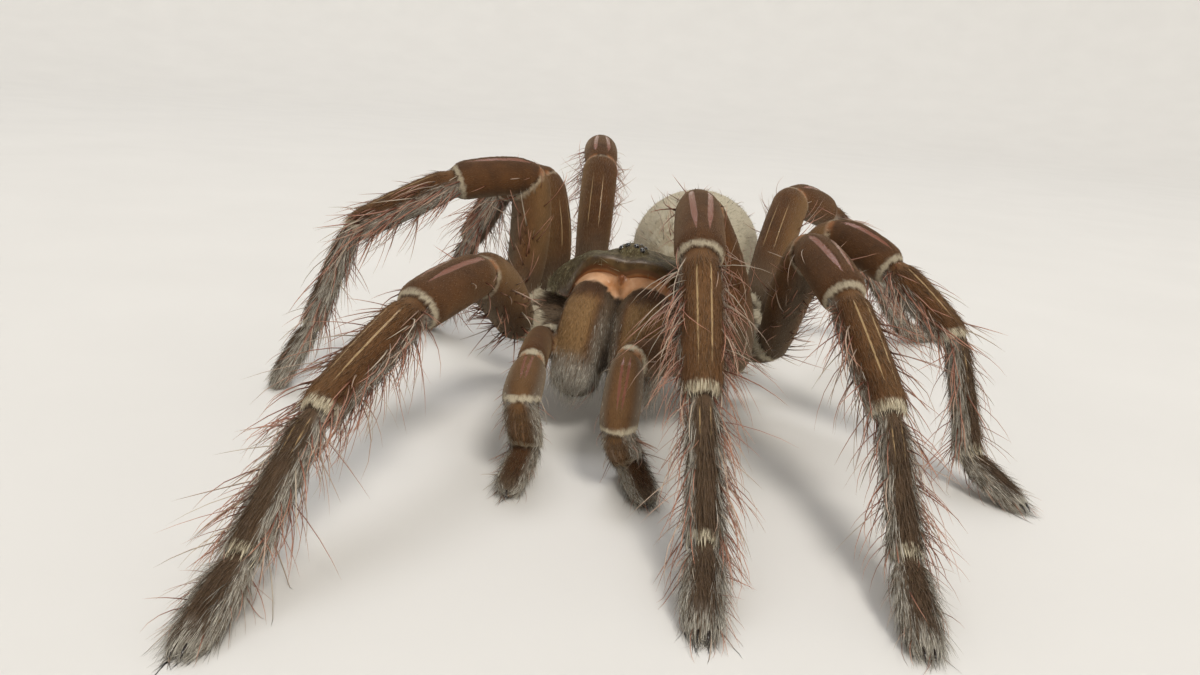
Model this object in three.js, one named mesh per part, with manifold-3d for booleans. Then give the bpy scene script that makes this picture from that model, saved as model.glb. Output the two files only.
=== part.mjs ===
// A life-size still model of a large ground tarantula standing on its eight feet and two palps.
// Millimetres, +Z up. The face looks along -Y, the spider's left side is +X, and the floor is z = 0.

import * as THREE from 'three';
import { mergeVertices, toCreasedNormals } from 'three/addons/utils/BufferGeometryUtils.js';
import Module from 'manifold-3d';

const wasm = await Module();
wasm.setup();

// ---- Sizes -------------------------------------------------------------------------------------

const GAP = 0.3; // clearance between neighbouring plates and limb pieces
const SIDES = 8; // facets round a limb
const FINE_DOME = [0, 0.1, 0.4, 1]; // rings of the ends that show
const SOLE = 0.3; // how deep the floor cuts into each foot to leave its small flat

const BODY_HEIGHT = 21.3; // the carapace's middle over the floor
const NOSE_UP = 1.3; // degrees the front of the body is raised

const CARAPACE = {
  length: 35,
  width: 36,
  narrowing: 0.16,
  head: 7.6,
  dome: 6.2,
  brow: 6.0,
  rim: -0.3,
  underside: -2.2,
};
const TUBERCLE = { ahead: 12.2, width: 4.6, length: 3.8, height: 2.2, top: 9.0 };
// The eyes of one side, by how far across and ahead they sit, and their diameter.
const EYES = [
  { name: 'front', across: 0.7, ahead: 13.2, size: 0.95 },
  { name: 'outer_front', across: 1.7, ahead: 13.1, size: 1.05 },
  { name: 'outer_rear', across: 1.8, ahead: 11.6, size: 0.85 },
  { name: 'rear', across: 1.0, ahead: 11.2, size: 0.7 },
];
const STERNUM = { length: 17, width: 15, top: -1.6, bottom: -10.6 };
const ABDOMEN = { length: 40.5, width: 27.4, height: 26, behind: 40, above: 2.4, aside: -1.2 };
const PEDICEL = { width: 5, depth: 4, length: 13, behind: 12, above: -3.4 };
const SPINNERET = {
  length: 11,
  thickness: 2.8,
  across: 3.2,
  behind: 57,
  above: -4.6,
  splay: 12,
  rise: 14,
};
const CHELICERA = {
  length: 15.8,
  wide: [7.8, 8.6, 7.0],
  deep: [9.4, 10, 7.4],
  bow: 0.4,
  crown: 0.95,
  across: 4.35,
  ahead: 17.0,
  above: -0.8,
  swing: 4,
  rise: -62,
};
const FANG = {
  length: 12.5,
  thickness: 2.6,
  bendRadius: 11,
  across: 4.7,
  ahead: 24.0,
  above: -16.4,
  rise: -6,
};

// Length, then full width and full depth at the root, middle and tip of every limb piece, and how
// far its back bows upward.
const LEG_PIECES = {
  1: {
    femur: { length: 26.4, wide: [5.8, 7.0, 6.8], deep: [6.4, 8.8, 7.2], bow: 1.0 },
    patella: { length: 17, wide: [6.6, 7.4, 7.2], deep: [6.8, 7.4, 7.0], bow: 0.4 },
    tibia: { length: 20.5, wide: [6.1, 6.3, 5.9], deep: [6.2, 6.4, 5.8], bow: 0.2 },
    metatarsus: { length: 18, wide: [4.8, 4.9, 5.3], deep: [4.9, 4.9, 5.0], bow: 0.2 },
    tarsus: { length: 11.5, wide: [5.0, 5.7, 4.8], deep: [4.6, 4.8, 4.2], bow: 0.0 },
  },
  2: {
    femur: { length: 23.5, wide: [5.8, 7.0, 6.8], deep: [6.2, 7.8, 7.0], bow: 1.0 },
    patella: { length: 14.5, wide: [6.4, 7.2, 7.0], deep: [6.6, 7.2, 6.8], bow: 0.4 },
    tibia: { length: 19, wide: [6.0, 6.1, 5.7], deep: [6.0, 6.2, 5.6], bow: 0.2 },
    metatarsus: { length: 18.5, wide: [4.6, 4.6, 5.0], deep: [4.6, 4.6, 4.8], bow: 0.2 },
    tarsus: { length: 12.5, wide: [4.8, 5.5, 4.6], deep: [4.4, 4.6, 4.0], bow: 0.0 },
  },
  3: {
    femur: { length: 21.5, wide: [6.0, 7.4, 6.8], deep: [6.6, 8.6, 7.2], bow: 1.0 },
    patella: { length: 12, wide: [6.2, 7.0, 6.6], deep: [6.4, 7.0, 6.4], bow: 0.4 },
    tibia: { length: 15, wide: [6.0, 6.2, 5.6], deep: [6.0, 6.2, 5.4], bow: 0.2 },
    metatarsus: { length: 18, wide: [4.6, 4.8, 5.4], deep: [4.6, 4.6, 4.8], bow: 0.2 },
    tarsus: { length: 11, wide: [4.8, 5.4, 4.6], deep: [4.4, 4.6, 4.0], bow: 0.0 },
  },
  4: {
    femur: { length: 25.5, wide: [6.2, 7.4, 7.4], deep: [6.8, 9.0, 7.6], bow: 1.0 },
    patella: { length: 14, wide: [6.6, 7.4, 7.0], deep: [6.8, 7.4, 6.8], bow: 0.4 },
    tibia: { length: 20.5, wide: [6.4, 6.6, 6.0], deep: [6.4, 6.6, 5.8], bow: 0.2 },
    metatarsus: { length: 27, wide: [4.8, 5.0, 5.4], deep: [4.8, 4.8, 4.8], bow: 0.3 },
    tarsus: { length: 12, wide: [4.8, 5.4, 4.6], deep: [4.4, 4.6, 4.0], bow: 0.0 },
  },
};
const PALP_PIECES = {
  femur: { length: 19, wide: [4.2, 4.8, 5.0], deep: [4.8, 6.2, 5.6], bow: 0.6 },
  patella: { length: 11.5, wide: [5.0, 5.8, 5.6], deep: [5.2, 5.8, 5.4], bow: 0.3 },
  tibia: { length: 12.5, wide: [5.2, 5.6, 5.2], deep: [5.2, 5.4, 5.0], bow: 0.2 },
  tarsus: { length: 12, wide: [4.8, 5.2, 4.4], deep: [4.6, 4.8, 4.0], bow: 0.0 },
};

// Where each femur starts, from the carapace's middle: out to the side, ahead, above.
const HIPS = {
  1: { out: 18.8, ahead: 14.4, above: -6.5 },
  2: { out: 23.5, ahead: 3.5, above: -6.0 },
  3: { out: 21.5, ahead: -7.0, above: -5.2 },
  4: { out: 17.0, ahead: -17.0, above: -4.2 },
  palp: { out: 12.6, ahead: 18.0, above: -7.6 },
};
// Where each coxa leaves the sternum, and its full width and depth.
const COXAE = {
  1: { out: 5.6, ahead: 7.4, above: -6.8, wide: 7.4, deep: 8.2 },
  2: { out: 6.6, ahead: 2.2, above: -6.6, wide: 7.4, deep: 8.0 },
  3: { out: 6.4, ahead: -3.4, above: -6.4, wide: 7.4, deep: 7.8 },
  4: { out: 5.4, ahead: -8.0, above: -6.0, wide: 7.8, deep: 8.0 },
  palp: { out: 4.2, ahead: 9.6, above: -7.6, wide: 6.2, deep: 7.4 },
};

// The stance, in degrees for each piece from the hip outward. Swing turns a piece from straight
// ahead toward its own side, rise lifts it above the horizon.
const STANCE = {
  right: {
    1: { swing: [-9, 5, 6, -3, -8], rise: [29, -8, -26, -39, -24] },
    2: { swing: [42, 40, 62, 58, 56], rise: [93, -5, -28, -69, -60] },
    3: { swing: [113, 112, 112, 112, 112], rise: [83, -14, -53, -67, -28] },
    4: { swing: [165, 160, 160, 160, 160], rise: [65, 8, -43, -54, -25] },
    palp: { swing: [-17, -16, -12, -10], rise: [3, -9, -131, -11] },
  },
  left: {
    1: { swing: [-40, 16, 20, 21, 15], rise: [67, -17, -45, -49, -30] },
    2: { swing: [22, 30, 32, 18, 16], rise: [54, -18, -37, -43, -23] },
    3: { swing: [66, 60, 58, 56, 53], rise: [61, -20, -33, -72, -24] },
    4: { swing: [172, 155, 149, 145, 144], rise: [51, -14, -34, -42, -11] },
    palp: { swing: [-16, 12, 5, 30], rise: [13, -42, -142, -6] },
  },
};

// ---- Materials ---------------------------------------------------------------------------------

const colour = (hex, roughness) =>
  new THREE.MeshStandardMaterial({ color: hex, roughness, metalness: 0 });

const VELVET_BROWN = colour('#6b4a2c', 0.85);
const FOOT_BROWN = colour('#5a4534', 0.9);
const CARAPACE_OLIVE = colour('#5f5440', 0.7);
const ABDOMEN_CREAM = colour('#a99a84', 0.95);
const CHELICERA_GOLD = colour('#80603a', 0.8);
const UNDERSIDE_DARK = colour('#3b2c22', 0.85);
const FANG_BLACK = colour('#17110f', 0.25);
const EYE_DARK = colour('#0c0b0d', 0.08);

// ---- Building blocks ---------------------------------------------------------------------------

const radians = THREE.MathUtils.degToRad;

// A value running smoothly through three sizes as t goes from 0 to 1.
const between = ([root, middle, tip], t) =>
  root * (1 - t) * (1 - 2 * t) + middle * 4 * t * (1 - t) + tip * t * (2 * t - 1);

// A geometry with nothing but its corners, each shared corner once.
function shared(geometry) {
  const bare = geometry.clone();
  bare.deleteAttribute('normal');
  bare.deleteAttribute('uv');
  return mergeVertices(bare, 1e-4);
}

// A closed three.js geometry as a solid with its faces turned outward.
function solid(geometry) {
  const merged = shared(geometry);
  const p = merged.attributes.position;
  const triangles = [];
  let volume = 0;
  const [a, b, c] = [new THREE.Vector3(), new THREE.Vector3(), new THREE.Vector3()];
  for (let i = 0; i < merged.index.count; i += 3) {
    const corner = [0, 1, 2].map((k) => merged.index.getX(i + k));
    if (corner[0] === corner[1] || corner[1] === corner[2] || corner[2] === corner[0]) continue;
    a.fromBufferAttribute(p, corner[0]);
    b.fromBufferAttribute(p, corner[1]);
    c.fromBufferAttribute(p, corner[2]);
    volume += a.dot(b.clone().cross(c));
    triangles.push(corner);
  }
  const order = volume < 0 ? [0, 2, 1] : [0, 1, 2];
  const triVerts = new Uint32Array(triangles.flatMap((t) => order.map((k) => t[k])));
  const vertProperties = new Float32Array(p.array);
  return new wasm.Manifold(new wasm.Mesh({ numProp: 3, vertProperties, triVerts }));
}

// Moves every corner of a geometry by a rule.
function reshape(geometry, rule) {
  const moved = shared(geometry);
  const p = moved.attributes.position;
  const v = new THREE.Vector3();
  for (let i = 0; i < p.count; i += 1) {
    v.fromBufferAttribute(p, i);
    rule(v);
    p.setXYZ(i, v.x, v.y, v.z);
  }
  return moved;
}

// A blunt-ended rod of unit radius along Y, from -before to length + after. Its domed ends have
// rings at the given fractions of their depth.
function rod(length, before, after, sides, domeRings) {
  const dome = (k) => (1 - (1 - k) ** 2.4) ** 0.45;
  const shoulder = Math.min(2.6, length * 0.25);
  const root = domeRings.map((k) => [dome(k), -before + k * (before + shoulder)]);
  const tip = domeRings.map((k) => [dome(k), length + after - k * (after + shoulder)]);
  const rings = [...root, [1, length * 0.5], ...tip.reverse()];
  const profile = rings.map(([radius, along]) => new THREE.Vector2(radius, along));
  return new THREE.LatheGeometry(profile, sides);
}

// A limb piece in its own frame: X across, Y along from the joint, Z toward its back.
// Both ends run past the joints by a little, for the joint cuts to trim.
function limbPiece(sizes, reach = [1, 1], grow = 0, sides = SIDES, domeRings = [0, 0.2, 1]) {
  const { length, wide, deep, bow = 0 } = sizes;
  const before = reach[0] * deep[0] * 0.5 + grow;
  const after = reach[1] * deep[2] * 0.5 + grow;
  return reshape(rod(length, before, after, sides, domeRings), (v) => {
    const t = THREE.MathUtils.clamp(v.y / length, -0.1, 1.1);
    v.x *= between(wide, t) / 2 + grow;
    v.z *= between(deep, t) / 2 + grow;
    v.z += 4 * bow * t * (1 - t);
  });
}

// The frame of a limb piece that starts at a point: swing and rise in degrees, side +1 or -1.
function limbFrame(start, side, swing, rise) {
  const [s, r] = [radians(swing), radians(rise)];
  const outward = new THREE.Vector3(side * Math.sin(s), -Math.cos(s), 0);
  const up = new THREE.Vector3(0, 0, 1);
  const along = outward.clone().multiplyScalar(Math.cos(r)).addScaledVector(up, Math.sin(r));
  const back = outward.clone().multiplyScalar(-Math.sin(r)).addScaledVector(up, Math.cos(r));
  const across = along.clone().cross(back);
  return new THREE.Matrix4().makeBasis(across, along, back).setPosition(start);
}

const direction = (frame) => new THREE.Vector3().setFromMatrixColumn(frame, 1);
const placed = (geometry, frame) => solid(geometry.clone().applyMatrix4(frame));

// Everything behind the plane through a point that faces along a normal, less half the gap.
function behind(point, normal) {
  const size = 400;
  const box = new THREE.BoxGeometry(size, size, size);
  box.translate(0, 0, -size / 2 - GAP / 2);
  const turn = new THREE.Quaternion().setFromUnitVectors(new THREE.Vector3(0, 0, 1), normal);
  box.applyQuaternion(turn).translate(point.x, point.y, point.z);
  return solid(box);
}

// The plane that halves the bend between two pieces that meet at a point.
const bend = (before, after) => direction(before).add(direction(after)).normalize();

// ---- The body's own frame ----------------------------------------------------------------------

const BODY = new THREE.Matrix4()
  .makeTranslation(0, 0, BODY_HEIGHT)
  .multiply(new THREE.Matrix4().makeRotationX(-radians(NOSE_UP)));
const onBody = (across, ahead, above) =>
  new THREE.Vector3(across, -ahead, above).applyMatrix4(BODY);

const model = new THREE.Group();
const partOf = {};
for (const name of ['body', 'legs', 'palps']) {
  partOf[name] = new THREE.Group();
  model.add(partOf[name]);
}

// Adds a solid as a named mesh that keeps its own frame.
function addPiece(group, name, shape, material, frame = BODY) {
  const { numProp, vertProperties, triVerts } = shape.getMesh();
  const geometry = new THREE.BufferGeometry();
  const positions = new Float32Array((vertProperties.length / numProp) * 3);
  for (let i = 0; i < positions.length / 3; i += 1) {
    for (let k = 0; k < 3; k += 1) positions[i * 3 + k] = vertProperties[i * numProp + k];
  }
  geometry.setAttribute('position', new THREE.BufferAttribute(positions, 3));
  geometry.setIndex([...triVerts]);
  geometry.applyMatrix4(frame.clone().invert());
  const mesh = new THREE.Mesh(toCreasedNormals(geometry, radians(40)), material);
  mesh.name = name;
  mesh.applyMatrix4(frame);
  group.add(mesh);
}

// ---- Carapace, eyes and sternum ----------------------------------------------------------------

const { smoothstep, lerp } = THREE.MathUtils;
const hill = (distance, spread) => Math.exp(-((distance / spread) ** 2));

// The carapace's half width at a place along it: broadest behind the middle, narrower at the face.
function carapaceHalfWidth(ahead) {
  const face = 1 - CARAPACE.narrowing * smoothstep(ahead, 0, CARAPACE.length / 2);
  return (CARAPACE.width / 2) * face;
}

// The height of its edge: low along the sides and rear, arched high over the jaws.
function carapaceRim(across, ahead) {
  const arch = CARAPACE.brow - 4.8 * (across / 12) ** 2;
  return lerp(CARAPACE.rim, Math.max(CARAPACE.rim, arch), smoothstep(ahead, 5, 13));
}

// The height of its middle line: a raised head, a pit behind it and a sloping rear.
function carapaceRidge(ahead) {
  const rear = lerp(2.2, CARAPACE.dome, smoothstep(ahead, -17, -4));
  return rear + (CARAPACE.head - CARAPACE.dome) * smoothstep(ahead, 1, 9) - 0.9 * hill(ahead + 3.5, 2);
}

// Shapes a unit ball into the carapace, its poles pointing up and down.
function carapaceGeometry(grow, around = 24, rings = 10) {
  const half = CARAPACE.length / 2;
  const ball = new THREE.SphereGeometry(1, around, rings).rotateX(Math.PI / 2);
  return reshape(ball, (v) => {
    const [bx, by, bz] = [v.x, v.y, v.z];
    const blunt = by < 0 ? 0.72 : 0.9;
    v.y = Math.sign(by) * Math.abs(by) ** blunt * (half + grow);
    const ahead = -v.y;
    const slack = Math.sqrt(Math.max(1e-9, 1 - by * by));
    const oval = Math.sqrt(Math.max(0, 1 - Math.abs(v.y / (half + grow)) ** 2.6));
    v.x = (bx / slack) * oval * (carapaceHalfWidth(ahead) + grow);
    const rim = carapaceRim(v.x, ahead);
    const dip = 0.5 * hill(Math.abs(bx) - 0.34, 0.1) * smoothstep(bz, 0.3, 0.8) * (by < 0 ? 1 : 0);
    const rise = (carapaceRidge(ahead) - rim) * Math.max(0, bz) ** 0.95 - dip;
    const drop = (rim - CARAPACE.underside) * Math.min(1, Math.max(0, -bz) ** 0.45);
    v.z = bz > 0 ? rim + rise + grow * bz : rim - drop + grow * bz;
  });
}

function tubercleGeometry(grow) {
  return reshape(new THREE.SphereGeometry(1, 10, 6).rotateX(Math.PI / 2), (v) => {
    v.x *= TUBERCLE.width / 2 + grow;
    v.y = v.y * (TUBERCLE.length / 2 + grow) - TUBERCLE.ahead;
    v.z = v.z * (TUBERCLE.height + grow) + TUBERCLE.top - TUBERCLE.height;
  });
}

// An eye, set half into the tubercle and facing away from its middle.
function eyeGeometry(eye, side, grow) {
  const x = (side * eye.across) / (TUBERCLE.width / 2);
  const y = (eye.ahead - TUBERCLE.ahead) / (TUBERCLE.length / 2);
  const height = TUBERCLE.height * Math.sqrt(Math.max(0, 1 - x * x - y * y));
  const ball = new THREE.SphereGeometry(eye.size / 2 + grow, 7, 5);
  return ball.translate(side * eye.across, -eye.ahead, TUBERCLE.top - TUBERCLE.height + height);
}

function makeCarapace() {
  let shell = placed(carapaceGeometry(0), BODY).add(placed(tubercleGeometry(0), BODY));
  for (const side of [-1, 1]) {
    shell = shell.subtract(cheliceraSolid(side, GAP));
    for (const eye of EYES) shell = shell.subtract(placed(eyeGeometry(eye, side, 0.12), BODY));
  }
  return shell;
}

function sternumGeometry(grow) {
  const half = (STERNUM.top - STERNUM.bottom) / 2;
  const middle = (STERNUM.top + STERNUM.bottom) / 2;
  return reshape(new THREE.SphereGeometry(1, 12, 6).rotateX(Math.PI / 2), (v) => {
    const heart = 1 - 0.22 * v.y;
    const square = (k) => Math.sign(k) * Math.abs(k) ** 0.75;
    v.x = square(v.x) * ((STERNUM.width / 2) * heart + grow);
    v.z = middle + square(v.z) * (half + grow);
    v.y = square(v.y) * (STERNUM.length / 2 + grow);
  });
}

// The lip in front of the breast plate.
function labiumGeometry(grow) {
  return reshape(new THREE.SphereGeometry(1, 8, 6), (v) => {
    v.x *= 2.4 + grow;
    v.y = v.y * (2.2 + grow) - STERNUM.length / 2 - 0.6;
    v.z = v.z * (2.2 + grow) - 8.0;
  });
}

// ---- Jaws --------------------------------------------------------------------------------------

const jawFrame = (side) => {
  const start = onBody(side * CHELICERA.across, CHELICERA.ahead, CHELICERA.above);
  return limbFrame(start, side, CHELICERA.swing, CHELICERA.rise);
};

function cheliceraSolid(side, grow) {
  const middle = new THREE.Vector3(side * GAP * 0.35, 0, 0);
  const ownSide = behind(middle, new THREE.Vector3(-side, 0, 0));
  const shape = limbPiece(CHELICERA, [CHELICERA.crown, 0], grow, 12, FINE_DOME);
  const jaw = placed(shape, jawFrame(side));
  return grow > 0 ? jaw : jaw.intersect(ownSide);
}

// A fang: a tapering rod bent round an arc, from the jaw's end back under it.
function fangGeometry(grow) {
  const { length, thickness, bendRadius } = FANG;
  const profile = [new THREE.Vector2(0, 0)];
  const rings = 7;
  for (let i = 0; i < rings; i += 1) {
    const t = i / rings;
    profile.push(new THREE.Vector2((thickness / 2) * (1 - t) ** 0.7 + grow, t * length));
  }
  profile.push(new THREE.Vector2(0, length + grow));
  return reshape(new THREE.LatheGeometry(profile, 8), (v) => {
    const angle = v.y / bendRadius;
    const out = bendRadius - v.z;
    v.y = Math.sin(angle) * out;
    v.z = bendRadius - Math.cos(angle) * out;
  });
}

function fangFrame(side) {
  const start = onBody(side * FANG.across, FANG.ahead, FANG.above);
  return limbFrame(start, side, 180, FANG.rise);
}

// ---- Limbs -------------------------------------------------------------------------------------

const PIECES_OF_LEG = ['femur', 'patella', 'tibia', 'metatarsus', 'tarsus'];
const PIECES_OF_PALP = ['femur', 'patella', 'tibia', 'tarsus'];

function hipPoint(key, side) {
  const hip = HIPS[key];
  return onBody(side * hip.out, hip.ahead, hip.above);
}

// The frame of a coxa, from the sternum to the hip.
function coxaFrame(key, side) {
  const root = COXAE[key];
  const start = onBody(side * root.out, root.ahead, root.above);
  const along = hipPoint(key, side).sub(start);
  const length = along.length();
  along.normalize();
  const up = new THREE.Vector3(0, 0, 1);
  const back = up.addScaledVector(along, -up.dot(along)).normalize();
  const across = along.clone().cross(back);
  return { length, frame: new THREE.Matrix4().makeBasis(across, along, back).setPosition(start) };
}

// Every piece's frame from the hip to the tip.
function limbFrames(key, side, pieces, sizes) {
  const stance = STANCE[side > 0 ? 'left' : 'right'][key];
  let point = hipPoint(key, side);
  return pieces.map((name, i) => {
    const frame = limbFrame(point, side, stance.swing[i], stance.rise[i]);
    point = new THREE.Vector3(0, sizes[name].length, 0).applyMatrix4(frame);
    return frame;
  });
}

// The solids of a limb, each trimmed at its joints; the foot stands on a small flat.
function limbSolids(key, side, pieces, sizes) {
  const frames = limbFrames(key, side, pieces, sizes);
  const coxa = coxaFrame(key, side);
  const floor = new THREE.Vector3(0, 0, SOLE - GAP / 2);
  const aboveFloor = behind(floor, new THREE.Vector3(0, 0, -1));
  const solids = pieces.map((name, i) => {
    const last = i === pieces.length - 1;
    const rings = last ? FINE_DOME : undefined;
    let piece = placed(limbPiece(sizes[name], [1, last ? 0 : 1], 0, SIDES, rings), frames[i]);
    const start = new THREE.Vector3().setFromMatrixPosition(frames[i]);
    const from = i === 0 ? coxa.frame : frames[i - 1];
    if (name !== 'tarsus' || key === 'palp') {
      piece = piece.intersect(behind(start, bend(from, frames[i]).negate()));
    }
    if (!last && (name !== 'metatarsus' || key === 'palp')) {
      const end = new THREE.Vector3().setFromMatrixPosition(frames[i + 1]);
      piece = piece.intersect(behind(end, bend(frames[i], frames[i + 1])));
    }
    return last ? piece.intersect(aboveFloor) : piece;
  });
  return { frames, solids, coxa };
}

function coxaSolid(key, side, femurFrame, grow) {
  const root = COXAE[key];
  const { length, frame } = coxaFrame(key, side);
  const sizes = { length, wide: [root.wide, root.wide, 6.6], deep: [root.deep, root.deep, 6.8] };
  if (key === 'palp') Object.assign(sizes, { wide: [6.2, 6.0, 5.0], deep: [7.4, 7.0, 5.4] });
  const shape = placed(limbPiece(sizes, [0.6, 1], grow, 7, [0, 1]), frame);
  const hip = hipPoint(key, side);
  const ridge = bend(frame, femurFrame);
  return shape.intersect(behind(hip, ridge));
}

const belowCarapace = placed(carapaceGeometry(GAP + 0.35, 16, 8), BODY);
const sternumClear = placed(sternumGeometry(GAP), BODY).add(placed(labiumGeometry(GAP), BODY));

for (const side of [-1, 1]) {
  const sideName = side > 0 ? 'left' : 'right';
  let coxae = null;
  for (const key of ['1', '2', '3', '4']) {
    const sizes = LEG_PIECES[key];
    const limb = limbSolids(key, side, PIECES_OF_LEG, sizes);
    const [femur, patella, tibia, metatarsus, tarsus] = limb.solids;
    const foot = metatarsus.add(tarsus);
    const leg = new THREE.Group();
    partOf.legs.add(leg);
    const label = `leg_${sideName}_${key}`;
    addPiece(leg, `${label}_femur`, femur, VELVET_BROWN, limb.frames[0]);
    addPiece(leg, `${label}_patella`, patella, VELVET_BROWN, limb.frames[1]);
    addPiece(leg, `${label}_tibia`, tibia, VELVET_BROWN, limb.frames[2]);
    addPiece(leg, `${label}_foot`, foot, FOOT_BROWN, limb.frames[3]);
    const coxa = coxaSolid(key, side, limb.frames[0], 0);
    coxae = coxae ? coxae.add(coxa) : coxa;
  }
  const palp = limbSolids('palp', side, PIECES_OF_PALP, PALP_PIECES);
  const arm = new THREE.Group();
  partOf.palps.add(arm);
  PIECES_OF_PALP.forEach((name, i) => {
    const material = name === 'tarsus' ? FOOT_BROWN : VELVET_BROWN;
    addPiece(arm, `palp_${sideName}_${name}`, palp.solids[i], material, palp.frames[i]);
  });
  coxae = coxae.add(coxaSolid('palp', side, palp.frames[0], 0));
  coxae = coxae.subtract(belowCarapace).subtract(sternumClear).subtract(cheliceraSolid(side, GAP));
  const middle = new THREE.Vector3(side * GAP * 0.5, 0, 0);
  coxae = coxae.intersect(behind(middle, new THREE.Vector3(-side, 0, 0)));
  addPiece(partOf.body, `coxae_${sideName}`, coxae, UNDERSIDE_DARK);
}

// ---- Head and trunk ----------------------------------------------------------------------------

addPiece(partOf.body, 'carapace', makeCarapace(), CARAPACE_OLIVE);
for (const eye of EYES) {
  for (const side of [-1, 1]) {
    const name = `eye_${side > 0 ? 'left' : 'right'}_${eye.name}`;
    addPiece(partOf.body, name, placed(eyeGeometry(eye, side, 0), BODY), EYE_DARK);
  }
}
const sternum = placed(sternumGeometry(0), BODY).add(placed(labiumGeometry(0), BODY));
addPiece(partOf.body, 'sternum', sternum.subtract(belowCarapace), UNDERSIDE_DARK);

for (const side of [-1, 1]) {
  const sideName = side > 0 ? 'left' : 'right';
  const jaw = cheliceraSolid(side, 0);
  const socket = placed(fangGeometry(GAP), fangFrame(side));
  const jawPiece = jaw.subtract(socket);
  addPiece(partOf.body, `chelicera_${sideName}`, jawPiece, CHELICERA_GOLD, jawFrame(side));
  const fang = placed(fangGeometry(0), fangFrame(side));
  addPiece(partOf.body, `fang_${sideName}`, fang, FANG_BLACK, fangFrame(side));
}

// The abdomen is an egg, blunter behind, hanging level from the waist.
function abdomenGeometry(grow) {
  return reshape(new THREE.SphereGeometry(1, 18, 10).rotateX(Math.PI / 2), (v) => {
    const egg = 1 + 0.1 * v.y - 0.06 * v.y * v.y;
    v.x = v.x * ((ABDOMEN.width / 2) * egg + grow) + ABDOMEN.aside;
    v.z = v.z * ((ABDOMEN.height / 2) * egg + grow) + ABDOMEN.above - 1.2 * v.y * v.y;
    v.y = v.y * (ABDOMEN.length / 2 + grow) + ABDOMEN.behind;
  });
}

// A spinneret of three joints, each thinner than the last.
function spinneretGeometry() {
  const profile = [new THREE.Vector2(0, -3)];
  const { length, thickness } = SPINNERET;
  for (const [along, girth] of [[-0.22, 0.7], [0, 1], [0.3, 1.06], [0.36, 0.82], [0.62, 0.84]]) {
    profile.push(new THREE.Vector2((girth * thickness) / 2, along * length));
  }
  profile.push(new THREE.Vector2(0.33 * thickness, 0.68 * length));
  profile.push(new THREE.Vector2(0.26 * thickness, 0.94 * length));
  profile.push(new THREE.Vector2(0, length));
  return new THREE.LatheGeometry(profile, 8);
}

const abdomen = placed(abdomenGeometry(0), BODY);
const abdomenClear = placed(abdomenGeometry(GAP), BODY);
addPiece(partOf.body, 'abdomen', abdomen, ABDOMEN_CREAM);

const waist = limbFrame(onBody(0, -PEDICEL.behind, PEDICEL.above), 1, 180, 4);
const waistSizes = {
  length: PEDICEL.length,
  wide: [PEDICEL.width, PEDICEL.width, PEDICEL.width],
  deep: [PEDICEL.depth, PEDICEL.depth, PEDICEL.depth],
};
const pedicel = placed(limbPiece(waistSizes, [0.4, 0.4]), waist);
const waistClear = pedicel.subtract(abdomenClear).subtract(placed(carapaceGeometry(GAP), BODY));
addPiece(partOf.body, 'pedicel', waistClear, UNDERSIDE_DARK, waist);

for (const side of [-1, 1]) {
  const across = side * SPINNERET.across + ABDOMEN.aside;
  const start = onBody(across, -SPINNERET.behind, SPINNERET.above);
  const frame = limbFrame(start, side, 180 - SPINNERET.splay, SPINNERET.rise);
  const shape = placed(spinneretGeometry(), frame).subtract(abdomenClear);
  addPiece(partOf.body, `spinneret_${side > 0 ? 'left' : 'right'}`, shape, ABDOMEN_CREAM, frame);
}

// ---- The reference point: the middle of the footprint, on the floor ----------------------------

const box = new THREE.Box3().setFromObject(model, true);
const centre = box.getCenter(new THREE.Vector3());
model.position.set(-centre.x, -centre.y, -box.min.z);

const group = new THREE.Group();
group.name = 'tarantula';
group.add(model);

export default group;
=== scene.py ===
"""A life-size tarantula: skin, shell, eyes, fangs, claws and coat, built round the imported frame."""
import math

import bpy
import numpy as np
from mathutils import Matrix, Vector


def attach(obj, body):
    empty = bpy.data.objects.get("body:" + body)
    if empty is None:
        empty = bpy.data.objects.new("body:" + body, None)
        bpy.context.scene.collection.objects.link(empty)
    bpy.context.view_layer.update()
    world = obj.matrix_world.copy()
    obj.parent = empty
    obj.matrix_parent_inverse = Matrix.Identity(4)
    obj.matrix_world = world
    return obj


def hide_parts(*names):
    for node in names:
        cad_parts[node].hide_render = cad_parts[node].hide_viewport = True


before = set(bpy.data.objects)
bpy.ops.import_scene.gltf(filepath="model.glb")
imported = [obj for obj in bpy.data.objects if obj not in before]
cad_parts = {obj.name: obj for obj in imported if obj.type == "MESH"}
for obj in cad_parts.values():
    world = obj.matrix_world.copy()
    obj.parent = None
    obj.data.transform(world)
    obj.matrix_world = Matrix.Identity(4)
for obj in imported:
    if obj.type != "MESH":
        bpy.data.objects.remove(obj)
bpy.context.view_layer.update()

MM = 0.001  # the tables below are in millimetres, Blender works in metres

# ---- Sizes, in millimetres and degrees ----

BODY_MIDDLE = np.array([-2.812, 5.444, 21.0])  # the carapace's middle
NOSE_UP = math.radians(1.3)  # how far the front of the body is raised
CARAPACE = dict(
    length=35, width=36, narrowing=0.12, head=8.7, dome=6.3, rear=2.2, brow=5.95, rim=-0.8,
    underside=-2.6,
)
PIT_BEHIND = 3.5  # where the pit on the carapace lies, behind its middle
TUBERCLE = dict(ahead=12.2, width=4.6, length=3.8, height=1.9, foot=7.5)
EYES = dict(  # across, ahead, diameter
    front=(0.7, 13.2, 0.95), outer_front=(1.7, 13.1, 1.05), outer_rear=(1.8, 11.6, 0.85),
    rear=(1.0, 11.2, 0.7),
)
FANG = dict(length=12.5, thickness=2.6, bend=11, place=(4.7, 22.6, -13.8), rise=-10)
CLAW = dict(length=1.9, thickness=0.42, bend=1.5, spread=0.55, height=1.5, inset=0.5)

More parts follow.
